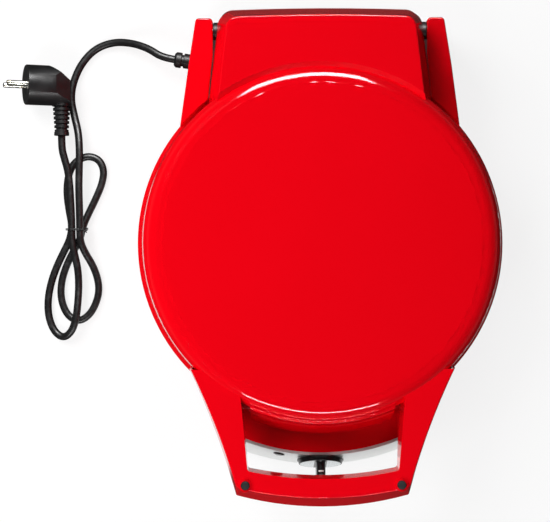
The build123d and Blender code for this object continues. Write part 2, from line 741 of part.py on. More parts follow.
# Control panel, knob and indicator

def panel_frame(x=0.0, z=KNOB_Z):
    """Frame on the panel's outer face at an offset x and a height, with z pointing out of the face."""
    lean = radians(PANEL_LEAN)
    radius = cone_radius(z)
    front = Plane(origin=(0, -radius, z), x_dir=(1, 0, 0), z_dir=(0, -cos(lean), sin(lean)))
    return Rot(0, 0, degrees(asin(x / radius))) * front.location


def make_control_panel():
    panel = front_sector(
        cone_strip(0, PANEL_T, BASE_FLOOR + GAP, CONSOLE_TOP_Z), PANEL_HALF - PANEL_PLAY)
    panel += panel_frame() * rod(PANEL_BOSS_R, -PANEL_BOSS_T, -OVER)
    panel -= panel_frame() * rod(BUSHING_R + SCREW_PLAY, -PANEL_BOSS_T - OVER, 2 * OVER)
    panel -= panel_frame(LENS_X, LENS_Z) * rod(LENS_STEM_R + LENS_PLAY, *LENS_DRILL)
    return panel


def make_indicator_lens():
    end = -PANEL_T - LENS_STEM_L
    stem = rod(LENS_STEM_R, end, LENS_SEAT_Z)
    cap = turned(profile(
        (0, LENS_SEAT_Z), (LENS_R, LENS_SEAT_Z), (LENS_R, LENS_RIM_Z), (LENS_R - LENS_RIM_W, LENS_DOME),
        (0, LENS_DOME + LENS_CROWN)))
    lens = stem + cap - rod(LAMP_R + LAMP_PLAY, end - OVER, LENS_FLOOR_Z)
    return panel_frame(LENS_X, LENS_Z) * lens


def make_indicator_lamp():
    end = -PANEL_T - LENS_STEM_L
    bulb = rod(LAMP_R, end, LAMP_TIP_Z)
    bulb = fillet(bulb.edges().sort_by(Axis.Z)[-1], LAMP_ROUND_SHARE * LAMP_R)
    holder_end = end - LAMP_HOLDER_L
    lamp = bulb + rod(LAMP_HOLDER_R, holder_end, end)
    lead = rod(LAMP_LEAD_R, holder_end - LAMP_LEAD_L, holder_end)
    for side in (1, -1):
        lamp += Pos(0, side * LAMP_LEAD_OFFSET, 0) * lead
    return panel_frame(LENS_X, LENS_Z) * lamp


def make_thermostat():
    width, height, thick = THERMOSTAT_PLATE
    plate_z = -PANEL_BOSS_T - thick / 2
    body = Pos(0, 0, plate_z) * Box(width, height, thick)
    body += rod(THERMOSTAT_R, plate_z - THERMOSTAT_L, plate_z)
    body += rod(BUSHING_R, plate_z, -BUSHING_SINK)
    tab_z = plate_z - THERMOSTAT_L - TAB[2] / 2 + TAB_ROOT
    for side in (-1, 1):
        body += Pos(side * THERMOSTAT_R / 2, 0, tab_z) * Box(*TAB)
    body -= rod(SHAFT_R + PIN_PLAY, OVER - THERMOSTAT_L, OVER)
    return panel_frame() * body


def make_thermostat_shaft():
    shaft = rod(SHAFT_R, OVER + SHAFT_END_PLAY - THERMOSTAT_L, KNOB_LIFT + SHAFT_BITE)
    flat_z = KNOB_LIFT + SHAFT_BITE / 2 + SHAFT_FLAT_FOOT
    flat = Box(4 * SHAFT_R, 2 * SHAFT_R, SHAFT_BITE)
    return panel_frame() * (shaft - Pos(0, (1 + SHAFT_FLAT_SHARE) * SHAFT_R, flat_z) * flat)


def grip_bar(margin, low_z, high_z):
    """Upright bar with round ends between two heights, smaller all round by a margin."""
    plan = SlotOverall(GRIP_BAR_L - 2 * margin, GRIP_BAR_W - 2 * margin, rotation=90)
    return Pos(0, 0, low_z) * extrude(plan, high_z - low_z)


def knob_inlays(grow=0.0):
    """Silver crescents sunk in the knob's face and a strip sunk in the front of its grip bar."""
    clear = GRIP_BAR_W / 2 + GRIP_FLARE + INLAY_PROUD - grow
    disc = rod(INLAY_R + grow, KNOB_FACE_Z - INLAY_T, KNOB_FACE_Z + INLAY_PROUD + grow)
    pieces = [grip_bar(INLAY_MARGIN - grow, GRIP_BAR_Z - INLAY_T, GRIP_BAR_Z + INLAY_PROUD + grow)]
    for side in (-1, 1):
        mask = Pos(side * (clear + KNOB_R / 2), 0, KNOB_FACE_Z) * Box(KNOB_R, 3 * KNOB_R, 4 * INLAY_T)
        pieces.append(disc & mask)
    return pieces


def pointer_pocket():
    """Room for the mark in the round top end of the grip bar."""
    return Pos(0, (GRIP_BAR_L - POINTER_T) / 2, POINTER_Z) * Box(POINTER_W, POINTER_T, POINTER_L)


def make_knob():
    flange_z = KNOB_LIFT + KNOB_FLANGE_T
    body = turned(profile(
        (0, KNOB_LIFT), (KNOB_FLANGE_R, KNOB_LIFT), (KNOB_FLANGE_R, flange_z, KNOB_FLANGE_EDGE),
        (KNOB_R, flange_z + KNOB_STEP), (KNOB_FACE_R, KNOB_FACE_Z, KNOB_EDGE), (0, KNOB_FACE_Z)))
    bar = grip_bar(0, KNOB_FACE_Z - OVER, GRIP_BAR_Z)
    bar = fillet(bar.faces().sort_by(Axis.Z)[-1].edges(), GRIP_EDGE)
    knob = body + bar
    root = knob.edges().filter_by_position(Axis.Z, KNOB_FACE_Z - NEAR, KNOB_FACE_Z + NEAR)
    root = root.filter_by_position(Axis.X, -GRIP_BAR_W, GRIP_BAR_W).filter_by(GeomType.LINE)
    knob = fillet(root, GRIP_FLARE) - pointer_pocket()
    for inlay in knob_inlays(INLAY_PLAY):
        knob -= inlay
    knob -= rod(SHAFT_R + PIN_PRESS, KNOB_LIFT - OVER, KNOB_LIFT + SHAFT_BITE + INLAY_PROUD)
    return panel_frame() * knob


def make_knob_inlays():
    return Compound(children=[panel_frame() * inlay for inlay in knob_inlays()])


def make_knob_pointer():
    return panel_frame() * (pointer_pocket() & grip_bar(0, KNOB_FACE_Z, GRIP_BAR_Z))


# Baking plates, elements and reflectors

LOWER_UNDER_Z = CHAMBER_LOW_Z - PLATE_T
UPPER_OVER_Z = CHAMBER_TOP_Z + UPPER_PLATE_T


def element_ends():
    """Bearings of the hoop's two ends, each with the way in which the tube runs on."""
    start = 90 + (360 - ELEMENT_ARC) / 2
    return [(start, -1), (start + ELEMENT_ARC, 1)]


def element_legs(z=0.0):
    """Places of the element's two upright ends."""
    return [on_ring(ELEMENT_RING_R, bearing, z) * Pos(0, side * ELEMENT_BEND_R, 0)
            for bearing, side in element_ends()]


def upright(radius, first_z, last_z):
    """Upright cylinder between two heights given in either order."""
    return rod(radius, min(first_z, last_z), max(first_z, last_z))


def element(plate_back_z, way):
    """Tubular hoop with its ends bent away from the plate: way is -1 below a plate and 1 above one."""
    mid_z = plate_back_z + way * ELEMENT_RIB_H / 2
    parts = [turned(Pos(ELEMENT_RING_R, mid_z) * Circle(ELEMENT_R), ELEMENT_ARC, element_ends()[0][0])]
    for bearing, side in element_ends():
        bend = Axis((0, 0, way * ELEMENT_BEND_R), (side * way, 0, 0))
        elbow = revolve(Plane.XZ * Circle(ELEMENT_R), bend, 90)
        parts.append(on_ring(ELEMENT_RING_R, bearing, mid_z) * elbow)
    end_z = mid_z + way * ELEMENT_DROP
    for leg in element_legs():
        parts.append(leg * upright(ELEMENT_R, mid_z + way * ELEMENT_BEND_R, end_z))
        parts.append(leg * upright(ELEMENT_PIN_R, end_z, end_z + way * ELEMENT_PIN_L))
    return joined(parts)


def stud_places():
    """Places of the studs on the back of a plate."""
    return [on_ring(STUD_RING_R, STUD_BEARING + index * 360 / STUD_COUNT) for index in range(STUD_COUNT)]


def plate_back(plate_back_z, way):
    """Rib that follows the element and stud bosses, on the back of a plate."""
    root_z = plate_back_z - way * OVER
    rib_z = plate_back_z + way * ELEMENT_RIB_H
    inner_r = ELEMENT_RING_R - ELEMENT_RIB_HALF
    outer_r = ELEMENT_RING_R + ELEMENT_RIB_HALF
    rib = turned(
        profile((inner_r, root_z), (outer_r, root_z), (outer_r, rib_z), (inner_r, rib_z)),
        ELEMENT_ARC, element_ends()[0][0])
    for place in stud_places():
        rib += place * upright(STUD_BOSS_R, root_z, plate_back_z + way * STUD_BOSS_H)
    return rib


def plate_cuts(plate_back_z, way):
    """Element groove and stud holes in the back of a plate."""
    mid_z = plate_back_z + way * ELEMENT_RIB_H / 2
    half = ELEMENT_R + GROOVE_PLAY
    low_z, high_z = sorted((mid_z, plate_back_z + way * (ELEMENT_RIB_H + OVER)))
    cuts = turned(Pos(ELEMENT_RING_R, mid_z) * Circle(half))
    cuts += ring(ELEMENT_RING_R - half, ELEMENT_RING_R + half, low_z, high_z)
    face_z = plate_back_z + way * STUD_BOSS_H
    for place in stud_places():
        cuts += place * upright(STUD_R + THREAD_PLAY, face_z + way * OVER, face_z - way * (STUD_BITE + OVER))
    return cuts


def reflector(plate_back_z, way):
    """Thin dish behind an element, seated on the plate's back and its bosses."""
    flat_z = plate_back_z + way * STUD_BOSS_H
    t = way * REFLECTOR_T
    dish = turned(profile(
        (0, flat_z), (REFLECTOR_FLAT_R, flat_z), (REFLECTOR_RIM_R, plate_back_z),
        (REFLECTOR_EDGE_R, plate_back_z), (REFLECTOR_EDGE_R, plate_back_z + t),
        (REFLECTOR_RIM_R + REFLECTOR_T, plate_back_z + t),
        (REFLECTOR_FLAT_R + REFLECTOR_T, flat_z + t), (0, flat_z + t)))
    for place in stud_places():
        dish -= place * upright(STUD_R + SCREW_PLAY, flat_z - way * OVER, flat_z + t + way * OVER)
    for leg in element_legs():
        dish -= leg * upright(ELEMENT_R + LEG_PLAY, flat_z - way * OVER, flat_z + t + way * OVER)
    return dish


def plate_screws(plate_back_z, way):
    """Screws that hold a reflector to its plate."""
    seat_z = plate_back_z + way * (STUD_BOSS_H + REFLECTOR_T)
    screw = upright(STUD_HEAD_R, seat_z, seat_z + way * STUD_HEAD_H)
    screw += upright(STUD_R, seat_z, seat_z - way * STUD_BITE)
    return Compound(children=[place * screw for place in stud_places()])


def make_lower_plate():
    """Deep lower dish: its flange lies on the bowl's ledge."""
    flange_r = LEDGE_OUT_R - GAP
    flange_top = LEDGE_Z + PLATE_FLANGE_T
    inner_r = PLATE_FLOOR_R - PLATE_WALL_T
    plate = turned(profile(
        (0, LOWER_UNDER_Z), (PLATE_FLOOR_R, LOWER_UNDER_Z, PLATE_BACK_ROUND),
        (PLATE_FLOOR_R + PLATE_DRAFT, LEDGE_Z), (flange_r, LEDGE_Z),
        (flange_r, flange_top, PLATE_FLANGE_EDGE), (inner_r + PLATE_DRAFT, flange_top, PLATE_LIP_ROUND),
        (inner_r, CHAMBER_LOW_Z, PLATE_FLOOR_ROUND), (0, CHAMBER_LOW_Z)))
    return plate + plate_back(LOWER_UNDER_Z, -1) - plate_cuts(LOWER_UNDER_Z, -1)


def make_upper_plate():
    """Upper dish: its flange closes the frame's inner edge from below."""
    flange_top = UPPER_FLANGE_Z + PLATE_FLANGE_T
    inner_r = PLATE_FLOOR_R - PLATE_WALL_T
    plate = turned(profile(
        (0, CHAMBER_TOP_Z), (inner_r, CHAMBER_TOP_Z, PLATE_FLOOR_ROUND),
        (inner_r + PLATE_DRAFT, UPPER_FLANGE_Z, PLATE_LIP_ROUND),
        (UPPER_FLANGE_R, UPPER_FLANGE_Z, PLATE_FLANGE_EDGE), (UPPER_FLANGE_R, flange_top),
        (FRAME_IN_R - GAP, flange_top), (PLATE_FLOOR_R, UPPER_OVER_Z, PLATE_BACK_ROUND), (0, UPPER_OVER_Z)))
    return plate + plate_back(UPPER_OVER_Z, 1) - plate_cuts(UPPER_OVER_Z, 1)


# Lid

def skirt_radius(z):
    """Outer radius of the dome's skirt at a height."""
    return LID_R + (z - LID_SKIRT_Z) * (CROWN_R - LID_R) / (CROWN_Z - LID_SKIRT_Z)


def dome(inset=0.0):
    """Dome of the lid as a solid: flat disc, convex shoulder and drafted skirt."""
    low_z = LID_SKIRT_Z - (OVER if inset else 0)
    disc = (DISC_R, LID_TOP_Z - inset)
    start = (DISC_R + DISC_STEP[0], LID_TOP_Z - DISC_STEP[1] - inset)
    inward = SHOULDER_SHARE * inset
    bend = (CROWN_R - SHOULDER_STEP[0] - inward, LID_TOP_Z - SHOULDER_STEP[1] - inward)
    crown = (CROWN_R - SKIRT_SHARE * inset, CROWN_Z)
    foot = (skirt_radius(low_z) - SKIRT_SHARE * inset, low_z)
    outline = Polyline((0, low_z), (0, disc[1]), disc, start)
    outline += ThreePointArc(start, bend, crown)
    outline += Polyline(crown, foot, (0, low_z))
    return turned(make_face(outline))


def lip(inset=0.0):
    """Flared lip of the dome in the handle's opening, with two rolled beads."""
    root_r = LIP_ROOT_R
    if inset:
        low_z = LID_SKIRT_Z - OVER
        roof_z = LIP_BEAD_Z - inset
        face = profile(
            (root_r, low_z), (LIP_LOW_R - inset, low_z), (LIP_STEP_R - inset - LIP_STEP, LIP_STEP_Z),
            (LIP_BEAD_R - inset - LIP_STEP, roof_z), (root_r, roof_z))
    else:
        neck_x, neck_z, neck_round = LIP_NECK
        groove_x, groove_z, groove_round = LIP_GROOVE
        face = profile(
            (root_r, LID_SKIRT_Z), (LIP_LOW_R, LID_SKIRT_Z, LIP_LOW_ROUND), (LIP_STEP_R, LIP_STEP_Z),
            (LIP_STEP_R - LIP_STEP, LIP_STEP_Z + LIP_STEP),
            (LIP_BEAD_R + neck_x, LIP_BEAD_Z + neck_z, neck_round),
            (LIP_BEAD_R, LIP_BEAD_Z, LIP_BEAD_ROUND),
            (LIP_BEAD_R + groove_x, LIP_BEAD_Z + groove_z, groove_round),
            (LIP_TOP_R, LIP_TOP_Z, LIP_TOP_ROUND), (root_r, LIP_TOP_Z))
    half_x = LIP_HALF_X - inset
    sector = front_sector(face, degrees(asin(half_x / root_r)) + LIP_SPREAD)
    return sector & (Pos(0, -LIP_LOW_R, LIP_STEP_Z) * Box(2 * half_x, LIP_LOW_R, LIP_LOW_R))


def housing_plan(rear_half, front_half, rear_y, corner, inset=0.0):
    """Plan of the rear housing: wider towards the plate, its rear edge gently bowed."""
    rear_half -= inset
    front_half -= inset
    rear_y -= inset
    side_y = rear_y - HOUSING_BOW
    outline = Polyline(
        (-rear_half, side_y), (-front_half, HOUSING_FRONT_Y), (front_half, HOUSING_FRONT_Y),
        (rear_half, side_y))
    outline += ThreePointArc((rear_half, side_y), (0, rear_y), (-rear_half, side_y))
    face = make_face(outline)
    corners = face.vertices().sort_by(Axis.Y)[-2:]
    return fillet(corners, corner)


def housing(inset=0.0):
    """Rear housing as a solid: its sides stand upright beside the arms and lean in above them."""
    low_z = HOUSING_LOW_Z - (OVER if inset else 0)
    top_z = HOUSING_TOP_Z - inset
    share = (ARM_TOP_Z - HOUSING_LOW_Z) / (HOUSING_TOP_Z - HOUSING_LOW_Z)
    step_y = share * (REAR_REACH - HOUSING_TOP_REAR_Y)
    side_l = REAR_REACH - HOUSING_BOW - HOUSING_FRONT_Y
    step_x = step_y * (HOUSING_LOW_FRONT_HALF - HOUSING_LOW_REAR_HALF) / side_l
    low = housing_plan(HOUSING_LOW_REAR_HALF, HOUSING_LOW_FRONT_HALF, REAR_REACH, HOUSING_CORNER, inset)
    waist = housing_plan(
        HOUSING_LOW_REAR_HALF + step_x, HOUSING_LOW_FRONT_HALF, REAR_REACH - step_y, HOUSING_CORNER, inset)
    high = housing_plan(
        HOUSING_TOP_REAR_HALF, HOUSING_TOP_FRONT_HALF, HOUSING_TOP_REAR_Y, HOUSING_TOP_CORNER, inset)
    block = loft([(Pos(0, 0, z) * plan).face()
                  for z, plan in ((low_z, low), (ARM_TOP_Z, waist), (top_z, high))], ruled=True)
    if not inset:
        top = block.faces().sort_by(Axis.Z)[-1]
        rim = [edge for edge in top.edges() if edge.center().Y > HOUSING_FRONT_Y + OVER]
        block = fillet(rim, HOUSING_EDGE)
    return block - turned(profile(
        (0, CREASE_Z - inset), (CREASE_R + inset, CREASE_Z - inset), (CREASE_TOP_R + inset, HOUSING_TOP_Z),
        (CREASE_TOP_R + inset, HOUSING_TOP_Z + OVER), (0, HOUSING_TOP_Z + OVER)))


def handle_plan(root_half, corner_half, corner_y, front, corner_r, inset=0.0):
    """Plan of the handle: hollow-curved sides that draw in to a bowed front bar."""
    root_half -= inset
    corner_half -= inset
    corner_y += inset
    mid_y = (HANDLE_ROOT_Y + corner_y) / 2 - HANDLE_SAG_FORWARD
    mid = ((root_half + corner_half) / 2 - HANDLE_SAG, mid_y)
    outline = ThreePointArc((root_half, HANDLE_ROOT_Y), mid, (corner_half, corner_y))
    outline += ThreePointArc((corner_half, corner_y), (0, -front + inset), (-corner_half, corner_y))
    outline += ThreePointArc((-corner_half, corner_y), (-mid[0], mid[1]), (-root_half, HANDLE_ROOT_Y))
    outline += Line((-root_half, HANDLE_ROOT_Y), (root_half, HANDLE_ROOT_Y))
    face = make_face(outline)
    corners = face.vertices().sort_by(Axis.Y)[:2]
    return fillet(corners, corner_r)


def ramp_z(y):
    """Height of the handle's top face, which rises gently towards the front."""
    (foot_y, foot_z), (head_y, head_z) = HANDLE_RAMP_FOOT, HANDLE_RAMP_HEAD
    return foot_z + (y - foot_y) * (head_z - foot_z) / (head_y - foot_y)


def handle(inset=0.0):
    """Handle as a solid, before its opening is cut."""
    low = handle_plan(
        HANDLE_ROOT_HALF, HANDLE_CORNER_HALF, HANDLE_CORNER_Y, FRONT_REACH, HANDLE_LOW_CORNER_R, inset)
    high = handle_plan(
        HANDLE_ROOT_HALF - HANDLE_DRAFT, HANDLE_TOP_CORNER_HALF, HANDLE_TOP_CORNER_Y, HANDLE_TOP_FRONT,
        HANDLE_TOP_CORNER_R, inset)
    slope = ramp_z(-1) - ramp_z(0)
    ramp = Plane(origin=(0, 0, ramp_z(0) - inset), x_dir=(1, 0, 0), z_dir=(0, slope, 1))
    block = loft([(Pos(0, 0, BAR_LOW_Z) * low).face(), (ramp * high).face()], ruled=True)
    if not inset:
        top = block.faces().filter_by(lambda face: face.normal_at().Z > 0.99).sort_by(Axis.Z)[-1]
        rim = [edge for edge in top.edges() if edge.center().Y < HANDLE_ROOT_Y - OVER]
        block = fillet(rim, HANDLE_EDGE)
    floor_z = LID_SKIRT_Z - (COVER_SEAT + OVER if inset else 0)
    return block + Pos(0, 0, floor_z) * extrude(low, BAR_LOW_Z - floor_z)


def undercut(lift=0.0):
    """Room under the handle: level below the dome, then rising to the bar's underside."""
    rear_y = HANDLE_ROOT_Y + OVER
    front_y = -FRONT_REACH - OVER
    return across(profile(
        (rear_y, LID_SKIRT_Z + lift), (UNDERCUT_FOOT_Y, LID_SKIRT_Z + lift),
        (UNDERCUT_HEAD_Y, BAR_LOW_Z + lift), (front_y, BAR_LOW_Z + lift), (front_y, 0), (rear_y, 0)),
        HANDLE_ROOT_HALF + OVER)


def grip_opening(grow=0.0):
    """Finger opening between the dome and the handle's bar."""
    front_half = GRIP_FRONT_HALF + grow
    rear_half = GRIP_REAR_HALF + grow
    front_y = GRIP_FRONT_Y - grow
    outline = Polyline(
        (front_half, front_y), (rear_half, GRIP_REAR_Y), (-rear_half, GRIP_REAR_Y), (-front_half, front_y))
    outline += ThreePointArc((-front_half, front_y), (0, GRIP_FRONT_MID_Y - grow), (front_half, front_y))
    face = make_face(outline)
    face = fillet(face.vertices().sort_by(Axis.Y)[:2], GRIP_CORNER)
    return extrude(face, LID_FOOT_TOP_Z)


def lid_solid():
    """Whole outer form of the lid."""
    rear = housing() - rod(RIM_CLEAR_R, HOUSING_LOW_Z - OVER, RIM_CLEAR_Z)
    return (handle() - undercut() - grip_opening()) + dome() + lip() + rear


def lid_hollow():
    """Whole inner form of the lid."""
    return (handle(WALL) - grip_opening(WALL)) + dome(WALL) + lip(WALL) + housing(WALL)


def lid_foot_spots():
    """Places of the two feet on the handle's front corners."""
    return [(-LID_FOOT_X, LID_FOOT_Y), (LID_FOOT_X, LID_FOOT_Y)]


def knuckle_notch():
    """Slots in the housing's side walls for the hinge knuckles, open at the bottom."""
    notch_r = KNUCKLE_R + NOTCH_PLAY
    slot = hinge_rod(notch_r, 2 * ARM_INNER_HALF)
    slot += Pos(0, HINGE_Y, HINGE_Z - notch_r) * Box(2 * ARM_INNER_HALF, 2 * notch_r, 2 * notch_r)
    between = 2 * (ARM_INNER_HALF - KNUCKLE_L - NOTCH_PLAY)
    return slot - Pos(0, HINGE_Y, HINGE_Z) * Box(between, 6 * notch_r, 6 * notch_r)


def make_lid_shell():
    """One-piece lid: dome, lip, handle and housing, hollow, with posts and seats for the feet."""
    solid = lid_solid()
    shell = solid - lid_hollow()
    post = rod(LID_POST_R, RING_TOP_Z, LID_TOP_Z - WALL)
    shell += joined([on_ring(LID_POST_RING_R, bearing) * post for bearing in LID_POST_BEARINGS]) & solid
    thread = rod(SCREW_R + THREAD_PLAY, RING_TOP_Z - OVER, RING_TOP_Z + SCREW_BITE)
    for bearing in LID_POST_BEARINGS:
        shell -= on_ring(LID_POST_RING_R, bearing) * thread
    top_z = ramp_z(LID_FOOT_Y)
    for x, y in lid_foot_spots():
        shell += Pos(x, y, 0) * rod(LID_FOOT_RING_R, top_z - WALL - LID_FOOT_SINK, top_z + LID_FOOT_RING_H)
        shell -= Pos(x, y, 0) * rod(LID_FOOT_R + LID_FOOT_PLAY, top_z - LID_FOOT_SINK, LID_FOOT_TOP_Z + OVER)
    return shell - knuckle_notch()


def make_lid_feet():
    top_z = ramp_z(LID_FOOT_Y)
    foot = turned(profile(
        (0, top_z - LID_FOOT_SINK), (LID_FOOT_R, top_z - LID_FOOT_SINK),
        (LID_FOOT_R, LID_FOOT_TOP_Z, LID_FOOT_EDGE), (0, LID_FOOT_TOP_Z)))
    return Compound(children=[Pos(x, y, 0) * foot for x, y in lid_foot_spots()])


def make_handle_cover():
    """Plate let into the handle from below."""
    slab = undercut(COVER_SEAT) - undercut()
    cover = (handle(WALL + GAP) - grip_opening(WALL + GAP)) & slab
    return cover - rod(LID_R - WALL + GAP, 0, LID_TOP_Z)


def make_lid_frame():
    """Inner ring of the lid with its rear tray and the two hinge knuckles."""
    step_r = UPPER_FLANGE_R + GAP
    low_r = skirt_radius(UPPER_FLANGE_Z) - WALL - GAP
    high_r = skirt_radius(FRAME_TOP_Z) - WALL - GAP
    wall_in_r = high_r - FRAME_WALL_T
    frame = turned(profile(
        (FRAME_IN_R, RING_LOW_Z), (step_r, RING_LOW_Z), (step_r, UPPER_FLANGE_Z), (low_r, UPPER_FLANGE_Z),
        (high_r, FRAME_TOP_Z), (wall_in_r, FRAME_TOP_Z), (wall_in_r, RING_TOP_Z), (FRAME_IN_R, RING_TOP_Z)))
    lobe_half = LIP_HALF_X - WALL - GAP
    lobe = ring(wall_in_r, LIP_LOW_R - WALL - FRAME_LOBE_PLAY, RING_LOW_Z, RING_TOP_Z)
    frame += lobe & (Pos(0, -LIP_LOW_R, RING_LOW_Z) * Box(2 * lobe_half, LIP_LOW_R, LIP_LOW_R))
    riser_in_r = RIM_CLEAR_R + GAP
    riser_out_r = riser_in_r + FRAME_RISER_T
    tray = rod(2 * REAR_REACH, FRAME_REAR_Z, FRAME_REAR_Z + FRAME_REAR_T) - rod(riser_in_r, 0, LID_TOP_Z)
    riser = ring(riser_in_r, riser_out_r, FRAME_REAR_Z, RING_TOP_Z)
    bridge = ring(wall_in_r, riser_out_r, RING_LOW_Z + GAP, RING_TOP_Z)
    frame += (tray + riser + bridge) & housing(WALL + GAP)
    knuckle_end = ARM_INNER_HALF - GAP
    for side in (-1, 1):
        frame += hinge_rod(KNUCKLE_R, KNUCKLE_L, side * (knuckle_end - KNUCKLE_L / 2))
        frame -= hinge_rod(HINGE_PIN_R + PIN_PLAY, 2 * (KNUCKLE_L - PIN_END_PLAY), side * knuckle_end)
    for bearing in LID_POST_BEARINGS:
        place = on_ring(LID_POST_RING_R, bearing)
        frame -= place * rod(LID_POST_R + GAP, RING_TOP_Z, FRAME_TOP_Z + OVER)
        frame -= place * rod(SCREW_R + SCREW_PLAY, RING_LOW_Z - OVER, RING_TOP_Z + OVER)
        frame -= place * rod(SCREW_HEAD_R + SCREW_PLAY, RING_LOW_Z - OVER, SCREW_SEAT_Z + SCREW_HEAD_H)
    return frame


def make_lid_screws():
    """Screws that hold the frame to the lid's posts."""
    screw = rod(SCREW_HEAD_R, SCREW_SEAT_Z, SCREW_SEAT_Z + SCREW_HEAD_H)
    screw += rod(SCREW_R, SCREW_SEAT_Z, RING_TOP_Z + SCREW_BITE - OVER)
    return Compound(children=[on_ring(LID_POST_RING_R, bearing) * screw for bearing in LID_POST_BEARINGS])


def make_hinge_pins():
    """Pins pressed into the arms, on which the frame's knuckles turn."""
    length = PIN_BITE + KNUCKLE_L - GAP - 2 * PIN_END_PLAY
    mid = ARM_INNER_HALF + PIN_BITE - length / 2
    return Compound(children=[hinge_rod(HINGE_PIN_R, length, side * mid) for side in (-1, 1)])


# Parts inside the base

def block_places():
    """Places of the terminal block's three ways."""
    return [Pos(BLOCK_AT[0] + index * BLOCK_PITCH, BLOCK_AT[1], 0) for index in (-1, 0, 1)]


def make_terminal_block():
    width, depth, height = BLOCK_SIZE
    top_z = BASE_FLOOR + height
    mid_z = BASE_FLOOR + height / 2
    block = Pos(*BLOCK_AT, mid_z) * Box(width, depth, height)
    block = fillet(block.edges().filter_by(Axis.Z), BLOCK_EDGE)
    for place in block_places():
        block -= place * rod(BLOCK_SCREW_R + SCREW_PLAY, top_z - BLOCK_WELL, top_z + OVER)
        block -= place * Pos(0, 0, mid_z) * Rot(90, 0, 0) * Cylinder(WIRE_R + SCREW_PLAY, depth + OVER)
    return block


def make_terminal_screws():
    low_z = BASE_FLOOR + BLOCK_SIZE[2] - BLOCK_WELL
    top_z = low_z + BLOCK_WELL - OVER
    screw = rod(BLOCK_SCREW_R, low_z, top_z)
    screw -= Pos(0, 0, top_z) * Box(2 * BLOCK_SCREW_R, BLOCK_SCREW_SLOT, 2 * BLOCK_SCREW_SLOT)
    return Compound(children=[place * screw for place in block_places()])


def make_thermal_fuse():
    """Fuse that lies against the lower reflector, with a wire out of each end."""
    low_z = LOWER_UNDER_Z - STUD_BOSS_H - REFLECTOR_T
    body = Cylinder(FUSE_R, FUSE_L) + Cylinder(FUSE_LEAD_R, FUSE_LEAD_L)
    return Pos(*FUSE_AT, low_z - FUSE_R) * Rot(0, 90, 0) * body


def make_base_wiring():
    """Three wires from the terminal block, each with its own hand-laid route."""
    block_x, block_y = BLOCK_AT
    front = block_y - BLOCK_SIZE[1] / 2 - GAP
    mid_z = BASE_FLOOR + BLOCK_SIZE[2] / 2
    wires = []
    for way, straight, bends in zip((-1, 0, 1), WIRE_STRAIGHTS, WIRE_ROUTES):
        x = block_x + way * BLOCK_PITCH
        route = [(x, front, mid_z), (x, front - straight, mid_z)]
        route += [(bend_x, bend_y, WIRE_Z) for bend_x, bend_y in bends]
        wires.append(tube(route, WIRE_R)[0])
    return Compound(children=wires)


# Cord

def gland_exit():
    """Point where the lead leaves the gland."""
    frame = gland_frame()
    return frame.origin + frame.z_dir * GLAND_L


def make_gland():
    """Strain relief: two collars with a neck between them, and a catch behind the wall."""
    base_top_z, neck_foot_z = GLAND_BASE_Z
    neck_top_z, collar_foot_z, collar_top_z = GLAND_COLLAR_Z
    collar_r = GLAND_R + GLAND_COLLAR_RISE
    sleeve = turned(profile(
        (0, 0), (GLAND_R, 0), (GLAND_R, base_top_z, GLAND_EDGE), (GLAND_NECK_R, neck_foot_z),
        (GLAND_NECK_R, neck_top_z), (collar_r, collar_foot_z, GLAND_EDGE),
        (collar_r, collar_top_z, GLAND_EDGE), (GLAND_NECK_R, GLAND_L), (0, GLAND_L)))
    catch_z = -WALL - GAP
    stem = rod(GLAND_STEM_R, catch_z - GLAND_CATCH_T, 0)
    catch = rod(GLAND_CATCH_R, catch_z - GLAND_CATCH_T, catch_z)
    slot = Pos(0, 0, GLAND_SLOT_Z) * Box(GLAND_SLOT_W, 4 * GLAND_R, GLAND_SLOT_H)
    slot -= rod(GLAND_NECK_R, 0, neck_top_z)
    return gland_frame().location * (sleeve + stem + catch - slot)


def make_inner_lead():
    """Lead inside the arm, through the bowl's wall and to the terminal block."""
    frame = gland_frame()
    start = frame.origin - frame.z_dir * (WALL + GAP + GLAND_CATCH_T)
    hole = [on_ring(BASE_R + reach, arm_bearings()[0], LEAD_HOLE_Z).position
            for reach in reversed(LEAD_HOLE_REACH)]
    block_x = BLOCK_AT[0]
    rear = BLOCK_AT[1] + BLOCK_SIZE[1] / 2 + GAP
    mid_z = BASE_FLOOR + BLOCK_SIZE[2] / 2
    route = [start, start - frame.z_dir * INNER_LEAD_OUT, *hole]
    route += [(block_x, rear + INNER_LEAD_RUN, mid_z), (block_x, rear, mid_z)]
    return tube([tuple(point) for point in route], CORD_R)[0]


def plug_frame():
    """Frame of the plug as it lies tipped back on its body: z along the pins, x along the cable exit."""
    tilt = radians(PLUG_TILT)
    rest_z = PLUG_R * cos(tilt) + PLUG_DEPTH * sin(tilt) + GAP
    return Plane(origin=(PLUG_FACE_X, PLUG_Y, rest_z), x_dir=(0, -1, 0), z_dir=(-cos(tilt), 0, sin(tilt)))


def boot_exit():
    """Point where the cord leaves the plug's boot."""
    frame = plug_frame()
    return frame.origin + frame.x_dir * BOOT_END + frame.z_dir * BOOT_Z


